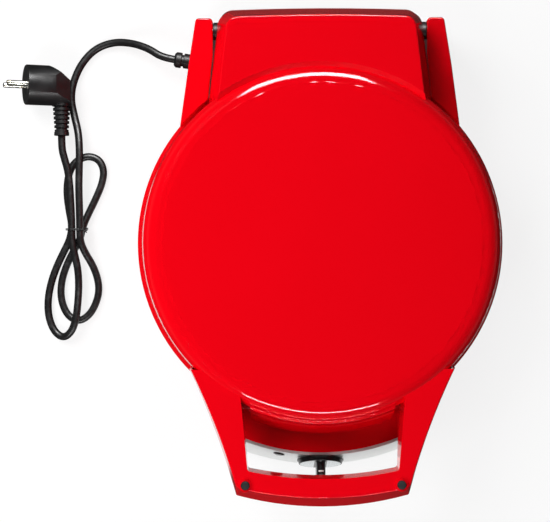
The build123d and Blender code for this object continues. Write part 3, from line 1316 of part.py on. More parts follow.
def boot_profile():
    """Half section of the ribbed boot, as (radius, distance along the cord)."""
    collar_r = BOOT_R + BOOT_COLLAR
    end_r = BOOT_END_R + BOOT_COLLAR
    ribs_end = BOOT_END - BOOT_END_L
    step = (ribs_end - BOOT_START) / BOOT_RIBS
    collar_start = BOOT_START - BOOT_COLLAR_L
    corners = [(0, collar_start), (collar_r, collar_start), (collar_r, BOOT_START)]
    for index in range(BOOT_RIBS):
        low = BOOT_START + index * step
        rib_r = BOOT_R + (BOOT_END_R - BOOT_R) * (index + 0.5) / BOOT_RIBS
        groove_r = rib_r - BOOT_GROOVE
        corners += [(groove_r, low), (groove_r, low + BOOT_GROOVE_SHARE * step)]
        corners += [(rib_r, low + BOOT_RIB_SHARE * step), (rib_r, low + step)]
    return profile(*corners, (end_r, ribs_end), (end_r, BOOT_END), (0, BOOT_END))


def make_plug_body():
    """Round plug front, cut to a wedge behind, with a barrel across its back and the ribbed boot."""
    body = turned(profile((0, 0), (PLUG_R, 0, PLUG_EDGE), (PLUG_R, PLUG_BACK_Z), (0, PLUG_BACK_Z)))
    back_half = PLUG_R + (PLUG_BACK_Z + PLUG_DEPTH) * tan(radians(PLUG_TILT))
    body &= extrude(Plane.XZ * profile(
        (-PLUG_R, OVER), (-PLUG_R, -PLUG_DEPTH), (PLUG_BACK_X, PLUG_BACK_Z), (PLUG_R, PLUG_BACK_Z),
        (PLUG_R, OVER)), PLUG_R, both=True)
    body &= across(profile(
        (-PLUG_R, OVER), (-PLUG_R, -PLUG_DEPTH), (-back_half, PLUG_BACK_Z), (back_half, PLUG_BACK_Z),
        (PLUG_R, -PLUG_DEPTH), (PLUG_R, OVER)), PLUG_R)
    body += Pos(0, 0, BOOT_Z) * Rot(0, 90, 0) * rod(PLUG_BARREL_R, PLUG_BACK_X + OVER, BOOT_START)
    body += Pos(0, 0, BOOT_Z) * Rot(0, 90, 0) * turned(boot_profile())
    contact_x, contact_y, contact_z = PLUG_CONTACT
    for side in (-1, 1):
        body -= Pos(0, side * PLUG_PIN_PITCH / 2, 0) * rod(PLUG_PIN_R + PIN_PRESS, -PLUG_PIN_ROOT, OVER)
        recess = Box(contact_x + OVER, contact_y + 2 * PLUG_PLAY, contact_z + 2 * PLUG_PLAY)
        body -= Pos(side * (PLUG_CONTACT_R + OVER / 2), 0, -contact_z / 2) * recess
    return plug_frame().location * body


def make_plug_pins():
    pin = turned(profile(
        (0, -PLUG_PIN_ROOT), (PLUG_PIN_R, -PLUG_PIN_ROOT), (PLUG_PIN_R, PLUG_PIN_L, PLUG_PIN_TIP),
        (0, PLUG_PIN_L)))
    return Compound(children=[
        plug_frame().location * (Pos(0, side * PLUG_PIN_PITCH / 2, 0) * pin) for side in (-1, 1)])


def make_plug_contacts():
    """Earth contacts let into both sides of the plug."""
    contact = Pos(0, 0, -PLUG_CONTACT[2] / 2) * Box(*PLUG_CONTACT)
    return Compound(children=[
        plug_frame().location * (Pos(side * PLUG_CONTACT_R, 0, 0) * contact) for side in (-1, 1)])


def make_cord_tie():
    """Band round the five strands, with its twisted end lying on top."""
    low_z, high_z = TIE_HEIGHTS
    left_x, right_x = TIE_SIDES
    width = right_x - left_x
    height = high_z - low_z + 2 * (CORD_R + TIE_PLAY)
    mid_x = (left_x + right_x) / 2
    mid_z = (low_z + high_z) / 2
    y = LOOPS_ROUTE[0][1]
    band = RectangleRounded(width + 2 * TIE_T, height + 2 * TIE_T, CORD_R + TIE_T)
    band -= RectangleRounded(width, height, CORD_R)
    band = Pos(mid_x, y + TIE_W / 2, mid_z) * Rot(90, 0, 0) * extrude(band, TIE_W)
    top_z = mid_z + height / 2 + TIE_T
    twist = Cylinder(TIE_END_R, TIE_END_L, align=(Align.CENTER, Align.CENTER, Align.MIN))
    return band + Pos(mid_x + TIE_END_OFF, y, top_z + TIE_END_OFF) * Rot(*TIE_END_TURN) * twist


def make_cords():
    """The lead, the bundled loops and the tail, with their radii, lengths and least self-gap printed."""
    exit_point = gland_exit()
    start = [tuple(exit_point), tuple(exit_point + gland_frame().z_dir * CORD_LEAD_OUT)]
    boot = boot_exit()
    end = [tuple(boot + plug_frame().x_dir * CORD_LEAD_OUT), tuple(boot)]
    shapes = {}
    routes = {"cord_lead": start + LEAD_ROUTE, "cord_hank": LOOPS_ROUTE, "cord_tail": TAIL_ROUTE + end}
    total = 0
    for name, route in routes.items():
        solid, path, radii = tube(route, CORD_R)
        shapes[name] = solid
        total += path.length
        print(name, "length", round(path.length, 1), "least radius", round(min(radii), 1),
              "volume ratio", round(solid.volume / (pi * CORD_R ** 2 * path.length), 5))
        print("  radii", [round(radius, 1) for radius in radii])
        if name == "cord_hank":
            print("  least self-gap", round(self_gap(path), 2))
    print("cord length in all", round(total, 1))
    return shapes


def self_gap(path):
    """Least gap of the loops to themselves, between points over four diameters apart along the path."""
    count = int(path.length / SELF_GAP_STEP)
    spots = [path @ (index / count) for index in range(count + 1)]
    skip = int(2 * SELF_GAP_SKIP * CORD_R / SELF_GAP_STEP)
    least = min(
        (spots[i] - spots[j]).length for i in range(len(spots)) for j in range(i + skip, len(spots)))
    return least - 2 * CORD_R


right_arm = make_right_arm()
nodes = {
    "base_shell": make_base_shell(),
    "right_hinge_arm": right_arm,
    "left_hinge_arm": make_left_arm(right_arm),
    "arm_screws": make_arm_screws(),
    "base_cover": make_base_cover(),
    "base_feet": make_base_feet(),
    "base_screws": make_base_screws(),
    "control_panel": make_control_panel(),
    "indicator_lens": make_indicator_lens(),
    "indicator_lamp": make_indicator_lamp(),
    "thermostat": make_thermostat(),
    "thermostat_shaft": make_thermostat_shaft(),
    "thermostat_knob": make_knob(),
    "knob_inlays": make_knob_inlays(),
    "knob_pointer": make_knob_pointer(),
    "lower_plate": make_lower_plate(),
    "lower_heating_element": element(LOWER_UNDER_Z, -1),
    "lower_reflector": reflector(LOWER_UNDER_Z, -1),
    "lower_plate_screws": plate_screws(LOWER_UNDER_Z, -1),
    "thermal_fuse": make_thermal_fuse(),
    "terminal_block": make_terminal_block(),
    "terminal_screws": make_terminal_screws(),
    "base_wiring": make_base_wiring(),
    "inner_lead": make_inner_lead(),
    "hinge_pins": make_hinge_pins(),
    "lid_shell": make_lid_shell(),
    "lid_feet": make_lid_feet(),
    "handle_cover": make_handle_cover(),
    "lid_frame": make_lid_frame(),
    "lid_screws": make_lid_screws(),
    "upper_plate": make_upper_plate(),
    "upper_heating_element": element(UPPER_OVER_Z, 1),
    "upper_reflector": reflector(UPPER_OVER_Z, 1),
    "upper_plate_screws": plate_screws(UPPER_OVER_Z, 1),
    "cord_gland": make_gland(),
    "cord_tie": make_cord_tie(),
    "plug_body": make_plug_body(),
    "plug_pins": make_plug_pins(),
    "plug_contacts": make_plug_contacts(),
}
nodes.update(make_cords())

os.makedirs("parts", exist_ok=True)
for name, shape in nodes.items():
    export_step(Pos(0, PLATE_Y, 0) * shape, f"parts/{name}.step")
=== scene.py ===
from math import pi, radians

import bmesh
import bpy
import numpy as np
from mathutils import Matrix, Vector


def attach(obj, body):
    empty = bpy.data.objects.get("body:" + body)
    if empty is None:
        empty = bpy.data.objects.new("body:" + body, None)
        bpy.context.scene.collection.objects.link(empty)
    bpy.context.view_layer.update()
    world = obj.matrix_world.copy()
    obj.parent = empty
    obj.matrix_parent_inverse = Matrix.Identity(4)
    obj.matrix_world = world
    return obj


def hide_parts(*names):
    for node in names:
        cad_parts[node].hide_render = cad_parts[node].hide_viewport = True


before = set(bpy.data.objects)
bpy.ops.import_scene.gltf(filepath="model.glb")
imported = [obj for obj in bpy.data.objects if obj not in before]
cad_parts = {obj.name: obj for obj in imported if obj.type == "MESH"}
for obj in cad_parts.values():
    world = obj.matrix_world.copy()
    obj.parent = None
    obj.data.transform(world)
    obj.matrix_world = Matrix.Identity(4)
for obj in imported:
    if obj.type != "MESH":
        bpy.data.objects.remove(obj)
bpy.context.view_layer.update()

# Metres. Z is up from the table, +Y runs from the handle to the hinge, +X is the user's right.
PLATE_Y = 0.0095

# Axes, each a point and a direction
PLATE_AXIS = ((0.0, PLATE_Y, 0.0), (0.0, 0.0, 1.0))
KNOB_AXIS = ((0.0, -0.190621, 0.030), (0.0, -0.946085, 0.323917))

# Camera: it looks straight down from over the cooker, turned by a quarter of a degree
CAMERA_PLACE = (-0.0413, -0.0065, 1.250)
CAMERA_TURN = 0.25
CAMERA_LENS = 85.88
CAMERA_SENSOR = 36.0

# Room: its strength for diffuse light, and in reflections low down and overhead. The last two fade into
# each other while the height of a unit direction runs from the first number to the second.
ROOM_FILL = 0.11
ROOM_LOW = 0.30
ROOM_HIGH = 0.04
ROOM_FADE = (0.02, 0.55)

# Floor: half its width, its two tones, its tone for bounced light, the glow that the camera sees and the
# share of that glow
FLOOR_HALF = 4.0
FLOOR_TONES = ((0.57, 0.57, 0.57), (0.60, 0.60, 0.60))
FLOOR_BOUNCE = (0.26, 0.26, 0.26)
FLOOR_GLOW = 1.17
FLOOR_LIFT = 0.72

# Floor in reflections, a painted reflection: a white glow in a ring about the plates' axis that only
# reflections see, with its strength inside and outside that ring. The ring fades in and out between two
# radii each, and ends towards the hinge between two values of y.
PAINTED_GLOW_IN_RING = 1.0
PAINTED_GLOW_OUTSIDE_RING = 0.04
PAINTED_RING_INSIDE = (0.160, 0.168)
PAINTED_RING_OUTSIDE = (0.234, 0.250)
PAINTED_RING_REAR = (0.06, 0.09)

# Lamps: place, the point that each faces, width, height, watts, and whether it is left out of reflections
LAMPS = {
    "left_key": ((-0.84, 0.78, 1.22), (0.0, 0.0, 0.08), 0.8, 0.8, 20.6, True),
    "front_fill": ((-0.74, -0.90, 1.12), (0.0, 0.0, 0.08), 0.6, 0.6, 11.5, True),
    "rear_panel": ((-0.05, 1.08, 1.14), (0.0, 0.0, 0.10), 0.84, 0.50, 70.0, False),
    "front_strip": ((-0.05, -1.02, 0.80), (0.0, -0.20, 0.10), 0.9, 0.075, 13.0, False)}

# Angles in degrees from which an edge stays sharp: on frame nodes, on pieces made here and on screws
NODE_EDGE = 32.0
PIECE_EDGE = 38.0
SCREW_EDGE = 30.0

# Distances under which points are merged: on frame nodes, on pieces made here and along slivers
NODE_MERGE = 2e-6
PIECE_MERGE = 1e-6
SLIVER_MERGE = 1e-7

# Screw profile, as shares of the head or the shank: the crown's fall, the head's rim and underside, the
# thread's depth and run, the neck over it and the blunt tip under it, and the thread's number of turns
CROWN_FALL = 0.45
HEAD_RIM = 0.12
HEAD_UNDER = 0.96
THREAD_DEPTH = 0.07
THREAD_RUN = 0.97
NECK = 0.9
TIP = 0.5
THREAD_TURNS = 13

# Cross recess: a slot's half width and the runs of its side and end ramps, as shares of the recess, and
# its depth as a share of the head
SLOT_HALF = 0.30
SLOT_SIDE = 0.12
SLOT_END = 0.25
SLOT_DEPTH = 0.62

# Screws: two sizes, then each set's size, circle, bearings, seat height, head's direction and body
SCREW_SIZES = {
    "small": dict(head_r=0.0026, head_h=0.0014, shank_r=0.00145, shank_l=0.0124, recess=0.0013),
    "stud": dict(head_r=0.0040, head_h=0.0024, shank_r=0.00195, shank_l=0.0078, recess=0.0022)}
SCREW_SETS = {
    "base_screws_turned": ("small", 0.1535, (5, 75, 105, 175, 225, 315), 0.003, -1, "base"),
    "lid_screws_turned": ("small", 0.1572, (0, 28, 90, 152, 180, 208, 270, 332), 0.0614, -1, "lid"),
    "lower_plate_screws_turned": ("stud", 0.070, (45, 135, 225, 315), 0.0294, -1, "base"),
    "upper_plate_screws_turned": ("stud", 0.070, (45, 135, 225, 315), 0.0841, 1, "lid")}
SCREW_TURN = 37.0

# Tie round the bundle: its wire, its centre, the bundle's half width and height, the half turns that it
# runs through, the turn at which it passes its centre, its pitch and its number of sides
TIE_WIRE = 0.00045
TIE_CENTRE = (-0.2285, 0.0245, 0.0086)
TIE_HALF_X = 0.0095
TIE_HALF_Z = 0.00755
TIE_RUN = (0.32, 4.36)
TIE_MIDDLE = 1.2
TIE_PITCH = 0.0011
TIE_SIDES = 10

# Tie's twisted end: where it starts, its run, its twists, how far and from where its wires part, and
# their share of the tie's wire
TWIST_START = (-0.2243, 0.0243, 0.0172)
TWIST_RUN = (0.0062, -0.0022, -0.0016)
TWIST_TURNS = 2.6
TWIST_SPLAY = 1.6
TWIST_SPLAY_FROM = 0.75
TWIST_SHARE = 0.95

# Mains lead: the route that the frame's tubes follow, from the gland to the plug's boot
LEAD_DIAMETER = 0.007
LEAD_POINTS = [
    (-0.1342, 0.1820, 0.0255), (-0.1461, 0.1839, 0.0258), (-0.1584, 0.1928, 0.0215),
    (-0.1745, 0.1993, 0.0140), (-0.1930, 0.2019, 0.0060), (-0.2110, 0.1961, 0.0035),
    (-0.2244, 0.1819, 0.0035), (-0.2324, 0.1641, 0.0035), (-0.2346, 0.1480, 0.0035),
    (-0.2314, 0.1325, 0.0038), (-0.2270, 0.1165, 0.0076), (-0.2254, 0.1005, 0.0114),
    (-0.2257, 0.0825, 0.0118), (-0.2261, 0.0625, 0.0124), (-0.2255, 0.0425, 0.0124),
    (-0.2252, 0.0245, 0.0124), (-0.2250, 0.0125, 0.0124), (-0.2206, 0.0015, 0.0085),
    (-0.2144, -0.0095, 0.0045), (-0.2098, -0.0220, 0.0035), (-0.2084, -0.0340, 0.0035),
    (-0.2114, -0.0460, 0.0035), (-0.2176, -0.0570, 0.0035), (-0.2272, -0.0631, 0.0035),
    (-0.2370, -0.0589, 0.0035), (-0.2428, -0.0489, 0.0035), (-0.2452, -0.0365, 0.0035),
    (-0.2436, -0.0220, 0.0035), (-0.2384, -0.0075, 0.0035), (-0.2316, 0.0055, 0.0036),
    (-0.2260, 0.0155, 0.0046), (-0.2234, 0.0275, 0.0047), (-0.2184, 0.0390, 0.0036),
    (-0.2112, 0.0535, 0.0035), (-0.2052, 0.0675, 0.0035), (-0.2032, 0.0800, 0.0035),
    (-0.2074, 0.0900, 0.0035), (-0.2162, 0.0939, 0.0035), (-0.2254, 0.0921, 0.0035),
    (-0.2334, 0.0855, 0.0035), (-0.2378, 0.0735, 0.0035), (-0.2388, 0.0585, 0.0035),
    (-0.2366, 0.0425, 0.0042), (-0.2336, 0.0275, 0.0048), (-0.2358, 0.0145, 0.0048),
    (-0.2426, 0.0015, 0.0038), (-0.2496, -0.0130, 0.0035), (-0.2548, -0.0285, 0.0035),
    (-0.2574, -0.0445, 0.0035), (-0.2564, -0.0600, 0.0035), (-0.2510, -0.0730, 0.0035),
    (-0.2422, -0.0789, 0.0054), (-0.2336, -0.0725, 0.0096), (-0.2292, -0.0600, 0.0119),
    (-0.2276, -0.0455, 0.0107), (-0.2270, -0.0285, 0.0078), (-0.2278, -0.0125, 0.0088),
    (-0.2308, 0.0025, 0.0120), (-0.2327, 0.0125, 0.0124), (-0.2329, 0.0245, 0.0124),
    (-0.2331, 0.0365, 0.0124), (-0.2338, 0.0505, 0.0122), (-0.2346, 0.0655, 0.0120),
    (-0.2364, 0.0805, 0.0122), (-0.2396, 0.0915, 0.0128), (-0.2419, 0.1007, 0.0131),
    (-0.2419, 0.1127, 0.0131)]


class Wire:
    """A node's output. Sums, differences and products of wires and numbers add Math nodes."""

    def __init__(self, graph, socket):
        self.graph = graph
        self.socket = socket

    def maths(self, operation, *values):
        return self.graph.add("Math", {"operation": operation}, dict(enumerate(values)))

    def __add__(self, other):
        return self.maths("ADD", self, other)

    def __sub__(self, other):
        return self.maths("SUBTRACT", self, other)

    def __rsub__(self, other):
        return self.maths("SUBTRACT", other, self)

    def __mul__(self, other):
        return self.maths("MULTIPLY", self, other)

    __radd__ = __add__
    __rmul__ = __mul__


class Graph:
    """The nodes of one tree. All but its first ones come from add."""

    def __init__(self, tree):
        self.tree = tree

    def feed(self, socket, value):
        if isinstance(value, Wire):
            self.tree.links.new(value.socket, socket)
        elif socket.type == "RGBA":
            socket.default_value = (*value, 1.0)
        else:
            socket.default_value = value

    def add(self, kind, settings=None, inputs=None, output=0):
        """Any node: its type, its settings, then the values or wires of its sockets."""
        node = self.tree.nodes.new("ShaderNode" + kind)
        for name, value in (settings or {}).items():
            setattr(node, name, value)
        for name, value in (inputs or {}).items():
            self.feed(node.inputs[name], value)
        return Wire(self, node.outputs[output])

    def step(self, value, low, high, first=0.0, last=1.0):
        """Smooth step from one number to another while a value runs from low to high."""
        return self.add("MapRange", {"interpolation_type": "SMOOTHSTEP"}, {
            "Value": value, "From Min": low, "From Max": high, "To Min": first, "To Max": last})


class Finish(Graph):
    """A procedural material on the Principled shader, with its pattern in the piece's own place."""

    def __init__(self, name, constants):
        self.material = bpy.data.materials.new(name)
        self.material.use_nodes = True
        super().__init__(self.material.node_tree)
        self.shader = self.tree.nodes["Principled BSDF"]
        for socket, value in constants.items():
            self.set(socket, value)
        self.place = self.add("TexCoord", output="Object")

    def set(self, socket, value):
        self.feed(self.shader.inputs[socket], value)

    def noise(self, scale, detail=2.0, at=None):
        return self.add("TexNoise", {}, {"Vector": at or self.place, "Scale": scale, "Detail": detail})

    def cells(self, scale, output="Distance"):
        return self.add("TexVoronoi", {}, {"Vector": self.place, "Scale": scale}, output)

    def stretched(self, scale):
        """The place scaled by a different number along each axis."""
        return self.add("Mapping", {}, {"Vector": self.place, "Scale": scale})

    def off_axis(self, centre, axis):
        """Distance from an axis: the length of the offset less its part along the axis."""
        offset = self.add("VectorMath", {"operation": "SUBTRACT"}, {0: self.place, 1: centre})
        along = self.add("VectorMath", {"operation": "DOT_PRODUCT"}, {0: offset, 1: axis}, "Value")
        part = self.add("VectorMath", {"operation": "SCALE"}, {0: axis, "Scale": along})
        return self.add("VectorMath", {"operation": "DISTANCE"}, {0: offset, 1: part}, "Value")

    def rings(self, axis, pitch):
        """Sine of the distance from an axis, with one wave to each pitch."""
        turn = self.off_axis(*axis) * (2 * pi / pitch)
        return turn.maths("SINE", turn)

    def blend(self, factor, first, second):
        return self.add("Mix", {"data_type": "RGBA"}, {0: factor, 6: first, 7: second}, 2)

    def colour(self, factor, first, second):
        """Base colour between two colours, by a factor."""
        self.set("Base Color", self.blend(factor, first, second))

    def rough(self, value, first, last, low=0.3, high=0.7):
        """Roughness that goes from one number to another while a value runs from low to high."""
        self.set("Roughness", self.step(value, low, high, first, last))

    def relief(self, height, depth, strength=1.0):
        """Bump of a height that runs from 0 to 1 over a depth in metres."""
        bump = self.add("Bump", {}, {"Height": height, "Distance": depth, "Strength": strength})
        self.set("Normal", bump)


# Finishes

def red_gloss():
    """High-gloss moulding: slow flow marks in the colour, wipe marks in the gloss, a faint ripple."""
    finish = Finish("red_gloss", {"IOR": 1.46, "Specular Tint": (1.0, 0.5, 0.55)})
    flow = finish.noise(7.0, 3.0)
    finish.colour(flow, (0.86, 0.0002, 0.0052), (0.92, 0.0005, 0.0075))
    wiped = finish.noise(1.0, 4.0, finish.stretched((35.0, 260.0, 120.0)))
    dust = finish.step(finish.noise(2600.0, 1.0), 0.70, 0.82)
    finish.set("Roughness", finish.step(wiped, 0.35, 0.75, 0.055, 0.10) + dust * 0.12)
    ripple = finish.noise(140.0, 2.0) + finish.noise(850.0, 1.0) * 0.12
    finish.relief(ripple, 0.000014)
    return finish


def black_grain(name, roughness, grain_scale, depth):
    """Black moulding with an eroded grain: pits in two sizes, and a drier top to each land."""
    finish = Finish(name, {"IOR": 1.5, "Specular IOR Level": 0.30})
    pits = finish.cells(grain_scale)
    fine = finish.noise(grain_scale * 2.6, 2.0)
    cloud = finish.noise(18.0, 3.0)
    finish.colour(cloud, (0.0045, 0.0046, 0.0052), (0.0085, 0.0086, 0.0092))
    finish.rough(pits + fine * 0.4, roughness - 0.07, roughness + 0.08, 0.3, 1.0)
    finish.relief(pits * 0.7 + fine * 0.5, depth)
    return finish


def black_rubber():
    """Moulded rubber: dull, slightly grey where it has been handled, with a fine sand texture."""
    finish = Finish("black_rubber", {"IOR": 1.5, "Specular IOR Level": 0.25})
    bloom = finish.noise(160.0, 5.0)
    finish.colour(finish.step(bloom, 0.4, 0.7), (0.006, 0.006, 0.006), (0.016, 0.016, 0.016))
    finish.rough(bloom, 0.62, 0.82, 0.3, 0.8)
    finish.relief(finish.noise(3200.0, 2.0), 0.000035)
    return finish


def zinc_steel():
    """Bright zinc on steel: small spangles of tone, tumbled marks, a thin grey bloom."""
    finish = Finish("zinc_steel", {"Metallic": 1.0})
    spangle = finish.cells(1400.0, "Color")
    tone = finish.add("SeparateColor", {}, {"Color": spangle})
    bloom = finish.noise(420.0, 4.0)
    bright = finish.blend(tone, (0.52, 0.52, 0.51), (0.66, 0.66, 0.64))
    finish.colour(finish.step(bloom, 0.52, 0.75), bright, (0.40, 0.40, 0.40))
    finish.rough(bloom, 0.22, 0.42)
    finish.relief(finish.noise(2300.0, 3.0), 0.000010)
    return finish


def silver_lacquer():
    """Metallic lacquer: tiny flakes that differ in tone and lean, under an even satin."""
    finish = Finish("silver_lacquer", {"IOR": 1.5})
    flake = finish.add("SeparateColor", {}, {"Color": finish.cells(5200.0, "Color")})
    cloud = finish.noise(40.0, 3.0)
    flaked = finish.blend(flake, (0.78, 0.79, 0.78), (0.88, 0.89, 0.88))
    finish.colour(cloud * 0.25, flaked, (0.76, 0.76, 0.75))
    finish.set("Metallic", finish.step(flake, 0.1, 0.9, 0.55, 0.80))
    finish.rough(finish.noise(300.0, 3.0), 0.30, 0.40)
    finish.relief(flake, 0.000006)
    return finish


def spun_silver():
    """Turned metal face: fine rings about the knob's axis in the tone and the relief."""
    finish = Finish("spun_silver", {"Metallic": 1.0})
    groove = finish.rings(KNOB_AXIS, 0.00035) * 0.5 + 0.5
    uneven = finish.noise(1.0, 2.0, finish.stretched((900.0, 900.0, 900.0)))
    finish.colour(groove * 0.6 + uneven * 0.4, (0.54, 0.57, 0.58), (0.66, 0.70, 0.71))
    finish.rough(uneven, 0.20, 0.30)
    finish.relief(groove, 0.000006)
    return finish


def dark_lens():
    """Dark red indicator cap: deep colour with a cellular prism pattern in its relief."""
    finish = Finish("dark_lens", {"IOR": 1.52, "Specular IOR Level": 0.3})
    prism = finish.cells(1500.0)
    finish.colour(finish.step(prism, 0.1, 0.7), (0.030, 0.002, 0.002), (0.006, 0.001, 0.001))
    finish.rough(finish.noise(300.0, 2.0), 0.08, 0.16)
    finish.relief(prism, 0.000020, 0.5)
    return finish


def warm_lamp():
    """Glass and brass of the small lamp: smoky amber that varies in tone at random."""
    finish = Finish("warm_lamp", {"IOR": 1.5, "Coat Weight": 0.4})
    smoke = finish.noise(500.0, 4.0)
    finish.colour(smoke, (0.42, 0.20, 0.07), (0.60, 0.38, 0.18))
    finish.rough(smoke, 0.10, 0.25)
    finish.relief(finish.noise(1800.0, 2.0), 0.000006)
    return finish


def white_mark():
    """Pad-printed white: thinner in places at random, with a soft tooth."""
    finish = Finish("white_mark", {"IOR": 1.48})
    ink = finish.noise(1600.0, 3.0)
    finish.colour(finish.step(ink, 0.35, 0.6), (0.70, 0.70, 0.69), (0.88, 0.88, 0.87))
    finish.rough(ink, 0.38, 0.50)
    finish.relief(ink, 0.000008)
    return finish


def cream_ceramic():
    """Unglazed ceramic and cream thermoset: fine speckle and a chalky tooth."""
    finish = Finish("cream_ceramic", {"IOR": 1.55})
    cloud = finish.noise(90.0, 4.0)
    speck = finish.step(finish.cells(2400.0), 0.10, 0.03)
    body = finish.blend(cloud, (0.50, 0.47, 0.40), (0.62, 0.59, 0.51))
    finish.colour(speck * 0.6, body, (0.26, 0.23, 0.19))
    finish.rough(cloud, 0.55, 0.72)
    finish.relief(finish.noise(2800.0, 3.0), 0.000018)
    return finish


def nonstick_coat():
    """Sprayed non-stick coat on cast metal: orange peel, pale specks, faint turning rings below."""
    finish = Finish("nonstick_coat", {"IOR": 1.42})
    speck = finish.step(finish.cells(1300.0), 0.13, 0.04)
    patch = finish.step(finish.noise(240.0, 2.0), 0.45, 0.62)
    cloud = finish.noise(14.0, 4.0)
    coat = finish.blend(cloud, (0.022, 0.022, 0.022), (0.036, 0.035, 0.034))
    finish.colour(speck * patch * 0.7, coat, (0.28, 0.27, 0.26))
    finish.rough(cloud + speck * 0.2, 0.34, 0.50, 0.3, 0.9)
    rings = finish.rings(PLATE_AXIS, 0.0016)
    finish.relief(finish.noise(700.0, 3.0) + rings * 0.08, 0.000045)
    return finish


def heated_sheath():
    """Steel sheath dulled by heat: grey, with straw and blue tints that wander along it."""
    finish = Finish("heated_sheath", {"Metallic": 1.0})
    drift = finish.noise(26.0, 3.0)
    soot = finish.noise(700.0, 4.0)
    tint = finish.blend(finish.step(drift, 0.38, 0.50), (0.21, 0.17, 0.11), (0.16, 0.17, 0.20))
    tint = finish.blend(finish.step(drift, 0.50, 0.64), tint, (0.25, 0.25, 0.24))
    finish.colour(finish.step(soot, 0.5, 0.8), tint, (0.09, 0.09, 0.09))
    finish.rough(soot, 0.36, 0.62, 0.3, 0.8)
    finish.relief(finish.noise(1900.0, 3.0), 0.000020)
    return finish


def rolled_aluminium():
    """Bright rolled sheet: long hairlines one way, a slight straw tint nearer the heat."""
    finish = Finish("rolled_aluminium", {"Metallic": 1.0})
    hair = finish.noise(1.0, 4.0, finish.stretched((18.0, 2600.0, 2600.0)))
    heat = finish.step(finish.off_axis(*PLATE_AXIS), 0.085, 0.125)
    sheet = finish.blend(hair, (0.66, 0.66, 0.67), (0.84, 0.84, 0.85))
    finish.colour(heat * 0.35, sheet, (0.62, 0.55, 0.42))
    finish.rough(hair, 0.18, 0.36)
    finish.relief(hair, 0.000012)
    return finish


def braided_sleeve():
    """Braided glass sleeving, soaked brown: a close diagonal weave of two strands."""
    finish = Finish("braided_sleeve", {"IOR": 1.5})
    weave = finish.add("TexBrick", {"offset": 0.5}, {
        "Vector": finish.stretched((900.0, 900.0, 900.0)), "Color1": (0.24, 0.095, 0.045),
        "Color2": (0.18, 0.065, 0.030), "Mortar": (0.07, 0.025, 0.012), "Scale": 1.0, "Mortar Size": 0.05})
    finish.set("Base Color", weave)
    finish.rough(finish.noise(800.0, 3.0), 0.62, 0.80)
    finish.relief(finish.noise(2600.0, 2.0), 0.000060)
    return finish


def lead_sheath():
    """Black cable sheath: satin, with drawn streaks, fine dust and a few rubbed places."""
    finish = Finish("lead_sheath", {"IOR": 1.5, "Specular IOR Level": 0.35})
    rub = finish.step(finish.noise(75.0, 5.0), 0.52, 0.78)
    finish.colour(rub, (0.0070, 0.0070, 0.0073), (0.020, 0.020, 0.021))
    finish.set("Roughness", finish.step(finish.noise(420.0, 4.0), 0.3, 0.75, 0.34, 0.50) + rub * 0.08)
    finish.relief(finish.noise(1500.0, 3.0), 0.000022)
    return finish


def plug_satin():
    """Moulded plug rubber: closer and softer than the sheath, with a fine even grain."""
    finish = Finish("plug_satin", {"IOR": 1.5, "Specular IOR Level": 0.35})
    cloud = finish.noise(60.0, 4.0)
    finish.colour(cloud, (0.0085, 0.0085, 0.0090), (0.017, 0.017, 0.018))
    finish.rough(cloud, 0.30, 0.44)
    finish.relief(finish.cells(2400.0), 0.000014)
    return finish


def nickel():
    """Nickel plate on brass: warm where it is thin, fine drawing marks along the pins."""
    finish = Finish("nickel", {"Metallic": 1.0})
    drawn = finish.noise(1.0, 3.0, finish.stretched((60.0, 2400.0, 2400.0)))
    thin = finish.step(finish.noise(260.0, 3.0), 0.45, 0.70)
    plate = finish.blend(drawn, (0.62, 0.60, 0.54), (0.76, 0.74, 0.69))
    finish.colour(thin * 0.6, plate, (0.68, 0.58, 0.38))
    finish.rough(drawn, 0.16, 0.28)
    finish.relief(drawn, 0.000008)
    return finish


# Shapes

def put(name, data):
    """A new object at the origin with a mesh, curve, camera or lamp in it."""
    made = bpy.data.objects.new(name, data)
    bpy.context.scene.collection.objects.link(made)
    return made


def skin(rows):
    """Two triangles to each square of a grid of points, with the grid's own parameters as UVs."""
    count, width = rows.shape[:2]
    first = (np.arange(count - 1)[:, None] * width + np.arange(width - 1)).ravel()
    corners = np.stack([first, first + 1, first + width + 1, first + width], axis=1)
    faces = np.concatenate([corners[:, [0, 1, 2]], corners[:, [0, 2, 3]]])
    across, along = np.meshgrid(np.linspace(0, 1, width), np.linspace(0, 1, count))
    flat = np.stack([across.ravel(), along.ravel()], axis=1)
    return rows.reshape(-1, 3), faces, flat[faces]


def placed(shape, origins, axes, sides):
    """Copies of a skin: each point is origin + x times side + y times (axis cross side) + z times axis."""
    points, faces, uvs = shape
    third = np.cross(axes, sides)
    moved = (origins[:, None] + points[None, :, :1] * sides[:, None]
             + points[None, :, 1:2] * third[:, None] + points[None, :, 2:] * axes[:, None])
    shift = np.arange(len(origins))[:, None, None] * len(points)
    return (moved.reshape(-1, 3), (faces[None] + shift).reshape(-1, 3),
            np.tile(uvs, (len(origins), 1, 1)))


